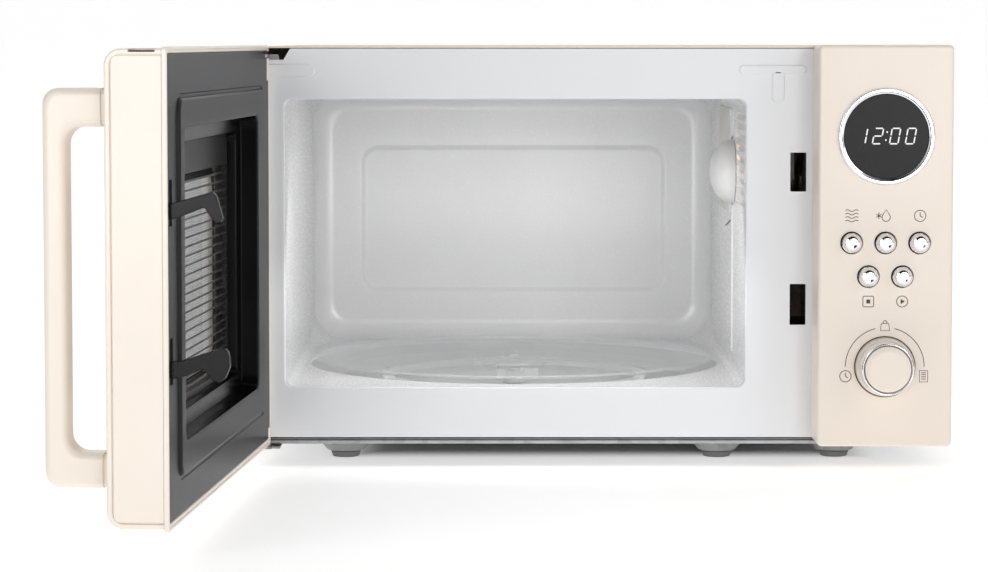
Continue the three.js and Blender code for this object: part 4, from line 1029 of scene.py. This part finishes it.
def choke_cover():
    """Dark moulding with a raised field, and a window sunk in two steps."""
    flange_a, flange_z = (0.8, FREE - 1.8), (19.4, 268.7)
    field_a, field_z = (23.0, 322.0), (39.8, 244.8)
    open_a, open_z = (55.0, 308.0), (58.0, 228.5)
    thick, top = INNER - 1.8, INNER + 1.8
    floor = INNER - 16
    layers = [
        (flange_a, flange_z, 2, thick), (flange_a, flange_z, 2, INNER - 0.4),
        (grow(flange_a, -0.15), grow(flange_z, -0.15), 2, INNER - 0.1),
        (grow(flange_a, -0.5), grow(flange_z, -0.5), 2, INNER),
        (grow(field_a, 2.4), grow(field_z, 2.4), 11.8, INNER),
        (grow(field_a, 1.8), grow(field_z, 1.8), 11.2, INNER - 0.6),
        (grow(field_a, 0.1), grow(field_z, 0.1), 9.6, INNER - 0.6),
        (field_a, field_z, 9.5, INNER), (grow(field_a, -0.2), grow(field_z, -0.2), 9.3, top - 1.1),
        (grow(field_a, -0.7), grow(field_z, -0.7), 8.9, top - 0.45),
        (grow(field_a, -1.4), grow(field_z, -1.4), 8.3, top - 0.1),
        (grow(field_a, -2.4), grow(field_z, -2.4), 7.5, top),
        (grow(open_a, 2.4), grow(open_z, 2.4), 9.5, top),
        (grow(open_a, 1.1), grow(open_z, 1.1), 8.6, top - 0.2),
        (grow(open_a, 0.3), grow(open_z, 0.3), 8.0, top - 0.8), (open_a, open_z, 7.8, top - 2.2),
        (grow(open_a, -0.6), grow(open_z, -0.6), 7.5, floor + 7.4),
        (grow(open_a, -1.2), grow(open_z, -1.2), 7.2, floor + 6.6),
        (grow(open_a, -8.5), grow(open_z, -8.5), 6.0, floor + 6.0),
        (grow(open_a, -9.5), grow(open_z, -9.5), 5.6, floor + 5.6),
        (grow(open_a, -10.0), grow(open_z, -10.0), 5.4, floor + 4.6),
        (grow(open_a, -10.6), grow(open_z, -10.6), 5.2, floor),
        (grow(open_a, 1.8), grow(open_z, 1.8), 8, floor), (grow(open_a, 1.8), grow(open_z, 1.8), 8, thick),
    ]
    cover = stack(layers, steps=8, loop=True)
    room = [block((-1, 7.3), (-1, 3), z) for z in ((249.7, 264.5), (18, 26.3))] + [block(*ARM_ROOM)]
    slots = [slab((HOOK_A - 4, HOOK_A + 4), z, 0.6, (-2, 4)) for z in ((177, 202), (92.5, 117.5))]
    moulding = door_piece("choke_cover_moulding", carved(cover, room + slots), CHARCOAL, ["door_choke_cover"],
                          smooth=40)
    # Faces inside the sunk window take the nearly black copy of the moulding: painted shade in the recess.
    moulding.data.materials.append(RECESS_SHADE)
    to_door = DOOR.inverted()
    for face in moulding.data.polygons:
        a, b, z = to_door @ face.center
        if b < top - 1.2 and open_a[0] - 1 < a < open_a[1] + 1 and open_z[0] - 1 < z < open_z[1] + 1:
            face.material_index = 1


HOLE_PITCH = 0.0013
HOLE_REACH = 0.56
BAR_PITCH = 0.0027
BAR_HALF_WIDTH = 0.0006


def screen_material():
    """Black sheet with a fine grid of round holes and plain bars between groups of rows."""
    material = surface("perforated_screen", (0.03, 0.03, 0.032), 0.4, grain=900, relief=0.05)
    tree = material.node_tree
    coords = tree.nodes.new("ShaderNodeTexCoord")
    turned = tree.nodes.new("ShaderNodeMapping")
    turned.inputs["Rotation"].default_value = (0, 0, math.radians(REST_OPEN))
    tree.links.new(coords.outputs["Object"], turned.inputs["Vector"])
    per_hole = (1 / HOLE_PITCH, 0, 1 / HOLE_PITCH)
    cells = maths(tree, "MULTIPLY", turned.outputs["Vector"], per_hole, True)
    centred = maths(tree, "SUBTRACT", maths(tree, "FRACTION", cells, vector=True), (0.5, 0, 0.5), True)
    solid = maths(tree, "GREATER_THAN", maths(tree, "LENGTH", centred, vector=True), HOLE_REACH)
    split = tree.nodes.new("ShaderNodeSeparateXYZ")
    tree.links.new(coords.outputs["Object"], split.inputs["Vector"])
    row = maths(tree, "PINGPONG", split.outputs["Z"], BAR_PITCH)
    bar = maths(tree, "LESS_THAN", row, BAR_HALF_WIDTH)
    shader = tree.nodes["Principled BSDF"]
    tree.links.new(maths(tree, "MAXIMUM", solid, bar), shader.inputs["Alpha"])
    return material


def screen_and_glass():
    b = (INNER - 17.0, INNER - 16.3)
    border = slab((34, 318), (46, 240), 4, b)
    field = slab((66, 297), (72, 199), 4, (b[0] - 1, b[1] + 1))
    door_piece("door_screen_border", carved(border, [field]), CHARCOAL, ["door_screen"])
    door_piece("door_screen_field", slab((66, 297), (72, 199), 4, (b[0] + 0.3, b[0] + 0.35)),
               screen_material())
    glass_b = (OUTER + SKIN + 0.3, OUTER + SKIN + 3.5)
    glass_a, glass_z = grow(WINDOW_A, 6), grow(WINDOW_Z, 6)
    door_piece("door_glass_pane", slab(glass_a, glass_z, 6, glass_b, edge=(0.4, 0.4)), SMOKED, ["door_glass"])
    band = carved(slab(grow(WINDOW_A, 3), grow(WINDOW_Z, 3), 14, (glass_b[1] + 0.02, glass_b[1] + 0.12)),
                  [slab(grow(WINDOW_A, -3.5), grow(WINDOW_Z, -3.5), 9, (glass_b[1] - 1, glass_b[1] + 1))])
    door_piece("door_glass_band", band, BLACK_PLASTIC)


def extruded_outline(outline, a, rim, flared=False):
    """A (b, z) outline drawn out along the door's width with its edges rounded by rim."""
    low = Vector((min(p[0] for p in outline), min(p[1] for p in outline)))
    high = Vector((max(p[0] for p in outline), max(p[1] for p in outline)))
    half = (high - low) / 2
    core = (high + low) / 2
    rings = []
    size = abs(rim)
    for t in (0, 0.25, 0.5, 0.8, 1.15, math.pi / 2):
        inset = size * (1 - math.sin(t))
        shift = size * (1 - math.cos(t))
        if flared:
            inset = -inset
        scale = Vector(((half.x - inset) / half.x, (half.y - inset) / half.y))
        ring = [(core.x + (p[0] - core.x) * scale.x, core.y + (p[1] - core.y) * scale.y)
                for p in outline]
        rings.append((shift, ring))
    near = [[(a[0] + (shift + (size if flared else 0)), *p) for p in ring] for shift, ring in rings]
    far = [[(a[1] - (shift + (size if flared else 0)), *p) for p in ring] for shift, ring in rings]
    if flared:
        near.insert(0, [(a[0], *p) for p in rings[0][1]])
        far.insert(0, [(a[1], *p) for p in rings[0][1]])
    return loft(near + far[::-1])


HANDLE_A = (313.0, 333.0)
HANDLE_Z = (35.1, 250.3)
HANDLE_B = (-69.45, -31.95)


def handle():
    """Bar handle on two feet. The section is oval, and the feet are narrower where they meet the door."""
    outer, face = HANDLE_B
    reach = outer + 12.8
    body = extruded_outline(rounded_ring((outer, face + 14), HANDLE_Z, 8.5, 10), HANDLE_A, 4.2)
    hole = extruded_outline(rounded_ring((reach, face + 20), (54.1, 229.7), 9.6, 10), grow(HANDLE_A, 4.2),
                            -4.2, True)
    trim = block(grow(HANDLE_A, 5), (face - 5.4, face + 20), grow(HANDLE_Z, 5))
    grip = carved(body, [hole, trim])
    feet = []
    for low, high in ((HANDLE_Z[0] + 1.0, 54.1 - 1.0), (229.7 + 1.0, HANDLE_Z[1] - 1.0)):
        feet.append(slab(grow(HANDLE_A, -1.2), (low, high), 3, (face - 5.6, face)))
    door_piece("handle_grip", joined(grip, *feet), CREAM, ["door_handle"], smooth=45)


UPPER_HOOK = [(-5, 180.2), (1, 180.2, 2), (8.7, 182.8, 6), (20.6, 187.5, 1.6), (22.6, 184.4, 3),
              (26.4, 179.2, 1),
              (29.4, 179.8, 0.8), (30.4, 181.6, 0.8), (27.0, 193.6, 2), (25.0, 195.7, 1.5), (21.9, 194.7, 3),
              (2.5, 189.5, 4), (-5, 188.6)]
LOWER_HOOK = [(-5, 96.0), (6.6, 96.4, 5), (19.6, 101.6, 1.2), (21.4, 99.0, 1.5), (25.0, 95.2, 2),
              (28.4, 94.3, 2.5),
              (31.4, 96.8, 4), (33.9, 102.9, 4), (33.4, 108.9, 4), (32.4, 112.3, 2.4), (28.2, 112.1, 4),
              (21.3, 110.2, 6),
              (7.5, 105.6, 5), (-5, 105.2)]


def latch_parts():
    hooks = []
    for outline in (UPPER_HOOK, LOWER_HOOK):
        hooks.append(bevelled(prism(rounded(outline, 4), (HOOK_A - 2.4, HOOK_A + 2.4)), 0.5, 3, 50))
    bar = slab((HOOK_A - 5, HOOK_A + 5), (88, 212), 1.5, (-9, -4), edge=(0.5, 0.5))
    peg = lathe([(0, 211), (1.5, 211), (1.5, 217.6), (1.1, 218), (0, 218)], "z", (HOOK_A, -6.5, 0), 24)
    door_piece("latch_hooks", joined(*hooks, bar, peg), BLACK_PLASTIC, ["latch_key"],
               body="latch")
    guide = [bevelled(block((HOOK_A - 5.5, HOOK_A + 5.5), b, z), 0.5)
             for b, z in (((-12, -9.4), (80, 234)), ((-12, -1), (230, 234)), ((-12, -1), (82, 87.6)))]
    door_piece("latch_guide_bracket", joined(*guide), WHITE_PLASTIC, ["latch_guide"])
    turns, radius, low, high = 6, 2.3, 212.9, 229.1
    rings = []
    for k in range(turns * 24 + 1):
        t = k / (turns * 24)
        angle = 2 * math.pi * turns * t
        centre = Vector((HOOK_A + radius * math.cos(angle), -6.5 + radius * math.sin(angle),
                         low + (high - low) * t))
        outward = Vector((math.cos(angle), math.sin(angle), 0))
        rings.append([centre + outward * 0.4 * math.cos(s) + Vector((0, 0, 0.4 * math.sin(s)))
                      for s in [2 * math.pi * i / 10 for i in range(10)]])
    spring = door_piece("latch_coil", loft(rings), ZINC, ["latch_spring"], body=None)
    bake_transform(spring)


door_shell()
door_end_cap()
door_frame()
choke_cover()
screen_and_glass()
handle()
latch_parts()

# ------------------------------------------------------------------ hinges and inside parts


def finish_node(node, material, bevel=0.4, segments=2):
    """Keeps a CAD node as it is and gives it a material and softened edges."""
    thing = frame["nodes"][node]
    thing.data.materials.clear()
    thing.data.materials.append(material)
    if bevel:
        soften = thing.modifiers.new("edges", "BEVEL")
        soften.width = bevel * MM
        soften.segments = segments
        soften.limit_method = "ANGLE"
        soften.angle_limit = math.radians(40)


# Edge width in millimetres of every inside part, by material.
INSIDE_FINISH = (
    (ZINC, {"hinge_bracket_upper": 0.25, "hinge_bracket_lower": 0.25, "waveguide": 0.3, "magnetron": 0.25,
            "turntable_motor": 0.5}),
    (IRON, {"transformer": 0.6, "fan_motor": 0.5}),
    (ALUMINIUM, {"hv_capacitor": 0.5}),
    (BLACK_PLASTIC, {"hv_diode": 0.2, "fan_shroud": 0.4, "fan_rotor": 0.3, "cavity_thermostat": 0.4,
                     "latch_bracket": 0.3, "door_switch_upper": 0.3, "door_switch_lower": 0.3,
                     "display_module": 0.3, "knob_encoder": 0.3}),
    (WHITE_PLASTIC, {"lamp_socket": 0.4, "turntable_coupler": 0.5}),
    (BOARD, {"noise_filter_board": 0.3, "control_board": 0.2}),
)
for finish, edge_widths in INSIDE_FINISH:
    for node_name, edge_width in edge_widths.items():
        finish_node(node_name, finish, edge_width)

# ------------------------------------------------------------------ camera, floor and light

FOCAL_LENGTH = 110.4
FRAME_SHIFT = -0.07
CAMERA_PLACE = (-70.7, -1950, 277.2)
DOWNWARD_TILT = 3.386

camera_data = bpy.data.cameras.new("camera")
camera_data.sensor_width = 36
camera_data.lens = FOCAL_LENGTH
camera_data.shift_y = FRAME_SHIFT
camera_data.clip_end = 50
camera = bpy.data.objects.new("camera", camera_data)
camera.location = place(*CAMERA_PLACE)
camera.rotation_euler = (math.radians(90 - DOWNWARD_TILT), 0, 0)
bpy.context.scene.collection.objects.link(camera)
bpy.context.scene.camera = camera


# The paper's own light fades in over this range, in metres from the cabinet's outline; nearer in it is off,
# which paints a shadow under the cabinet.
DARK_EDGE, BRIGHT_EDGE = -0.075, -0.03
PAPER_GLOW = 0.5


def paper_material():
    """White paper that glows a little, except under the cabinet, where the glow is taken away: a painted
    shadow.
    """
    paper = surface("studio_floor", (0.9, 0.9, 0.9), 0.8, grain=4.0, relief=0.0, drift=0.003)
    tree = paper.node_tree
    shader = tree.nodes["Principled BSDF"]
    shader.inputs["Emission Color"].default_value = (1.0, 1.0, 1.0, 1.0)
    split = tree.nodes.new("ShaderNodeSeparateXYZ")
    coords = tree.nodes.new("ShaderNodeTexCoord")
    tree.links.new(coords.outputs["Object"], split.inputs["Vector"])
    distances = []
    for letter, axis in (("X", 0), ("Y", 1)):
        low, high = span("base_plate", axis)
        start, end = place(low, low, 0)[axis], place(high, high, 0)[axis]
        offset = maths(tree, "SUBTRACT", split.outputs[letter], (start + end) / 2)
        distances.append(maths(tree, "SUBTRACT", maths(tree, "ABSOLUTE", offset), (end - start) / 2))
    glow = tree.nodes.new("ShaderNodeMapRange")
    glow.interpolation_type = "SMOOTHSTEP"
    glow.inputs["From Min"].default_value = DARK_EDGE
    glow.inputs["From Max"].default_value = BRIGHT_EDGE
    glow.inputs["To Min"].default_value = 0.0
    glow.inputs["To Max"].default_value = PAPER_GLOW
    tree.links.new(maths(tree, "MAXIMUM", *distances), glow.inputs["Value"])
    tree.links.new(glow.outputs["Result"], shader.inputs["Emission Strength"])
    return paper


def floor():
    """Studio sweep: a pale floor that curves up far behind the object."""
    profile = [(-6.0, 0.0), *arc((3.0, 2.0), 2.0, 270, 360, 24), (5.0, 9.0)]
    rings = [[(x, y, z) for x in (-9, 9)] for y, z in profile]
    bm = bmesh.new()
    rows = [[bm.verts.new(point) for point in ring] for ring in rings]
    for lower, upper in zip(rows, rows[1:]):
        bm.faces.new((lower[0], lower[1], upper[1], upper[0]))
    mesh = bpy.data.meshes.new("floor")
    bm.to_mesh(mesh)
    bm.free()
    mesh.shade_smooth()
    mesh.materials.append(paper_material())
    sweep = bpy.data.objects.new("studio_floor", mesh)
    bpy.context.scene.collection.objects.link(sweep)


def area_light(name, location, target, size, power):
    data = bpy.data.lights.new(name, "AREA")
    data.shape = "RECTANGLE"
    data.size, data.size_y = size
    data.energy = power
    lamp_object = bpy.data.objects.new(name, data)
    lamp_object.location = location
    lamp_object.visible_camera = False
    lamp_object.rotation_euler = (Vector(target) - Vector(location)).to_track_quat("-Z", "Y").to_euler()
    bpy.context.scene.collection.objects.link(lamp_object)


floor()
area_light("key_left", (-2.4, -2.2, 2.4), (0, 0, 0.15), (1.6, 1.6), 7)
area_light("fill_right", (2.4, -2.0, 1.4), (-0.1, 0, 0.15), (1.2, 1.6), 9)
area_light("top", (0, 0.4, 2.6), (0, 0, 0), (2.2, 1.6), 8)
area_light("front_left", (-0.95, -3.2, 0.5), (0, 0, 0.15), (0.8, 1.0), 15)
area_light("front_right", (0.95, -3.2, 0.5), (0, 0, 0.15), (0.8, 1.0), 17)
area_light("inside", place(-57, 6, 150), place(-57, 220, 0), (0.26, 0.1), 0.19)


def studio_world():
    """Soft white surroundings with a few dark upright bands, for the polished metal to reflect."""
    world = bpy.data.worlds.new("studio")
    world.use_nodes = True
    nodes, links = world.node_tree.nodes, world.node_tree.links
    coords = nodes.new("ShaderNodeTexCoord")
    around = nodes.new("ShaderNodeTexGradient")
    around.gradient_type = "RADIAL"
    bands = nodes.new("ShaderNodeValToRGB")
    bands.color_ramp.interpolation = "EASE"
    stops = [(0.0, 0.05), (0.04, 0.05), (0.08, 1.0), (0.15, 1.0), (0.18, 0.3), (0.22, 0.03), (0.28, 0.03),
             (0.32, 0.3), (0.35, 1.0), (0.42, 1.0), (0.46, 0.04), (0.56, 0.04), (0.62, 1.0), (0.88, 1.0),
             (0.94, 0.05)]
    ramp = bands.color_ramp
    ramp.elements[0].position, ramp.elements[1].position = stops[0][0], stops[-1][0]
    ramp.elements[0].color = (stops[0][1],) * 3 + (1.0,)
    ramp.elements[1].color = (stops[-1][1],) * 3 + (1.0,)
    for position, level in stops[1:-1]:
        ramp.elements.new(position).color = (level,) * 3 + (1.0,)
    links.new(coords.outputs["Generated"], around.inputs["Vector"])
    links.new(around.outputs["Color"], bands.inputs["Fac"])
    links.new(bands.outputs["Color"], nodes["Background"].inputs["Color"])
    nodes["Background"].inputs["Strength"].default_value = 0.66
    return world


bpy.context.scene.world = studio_world()
bpy.context.scene.view_settings.view_transform = "Standard"
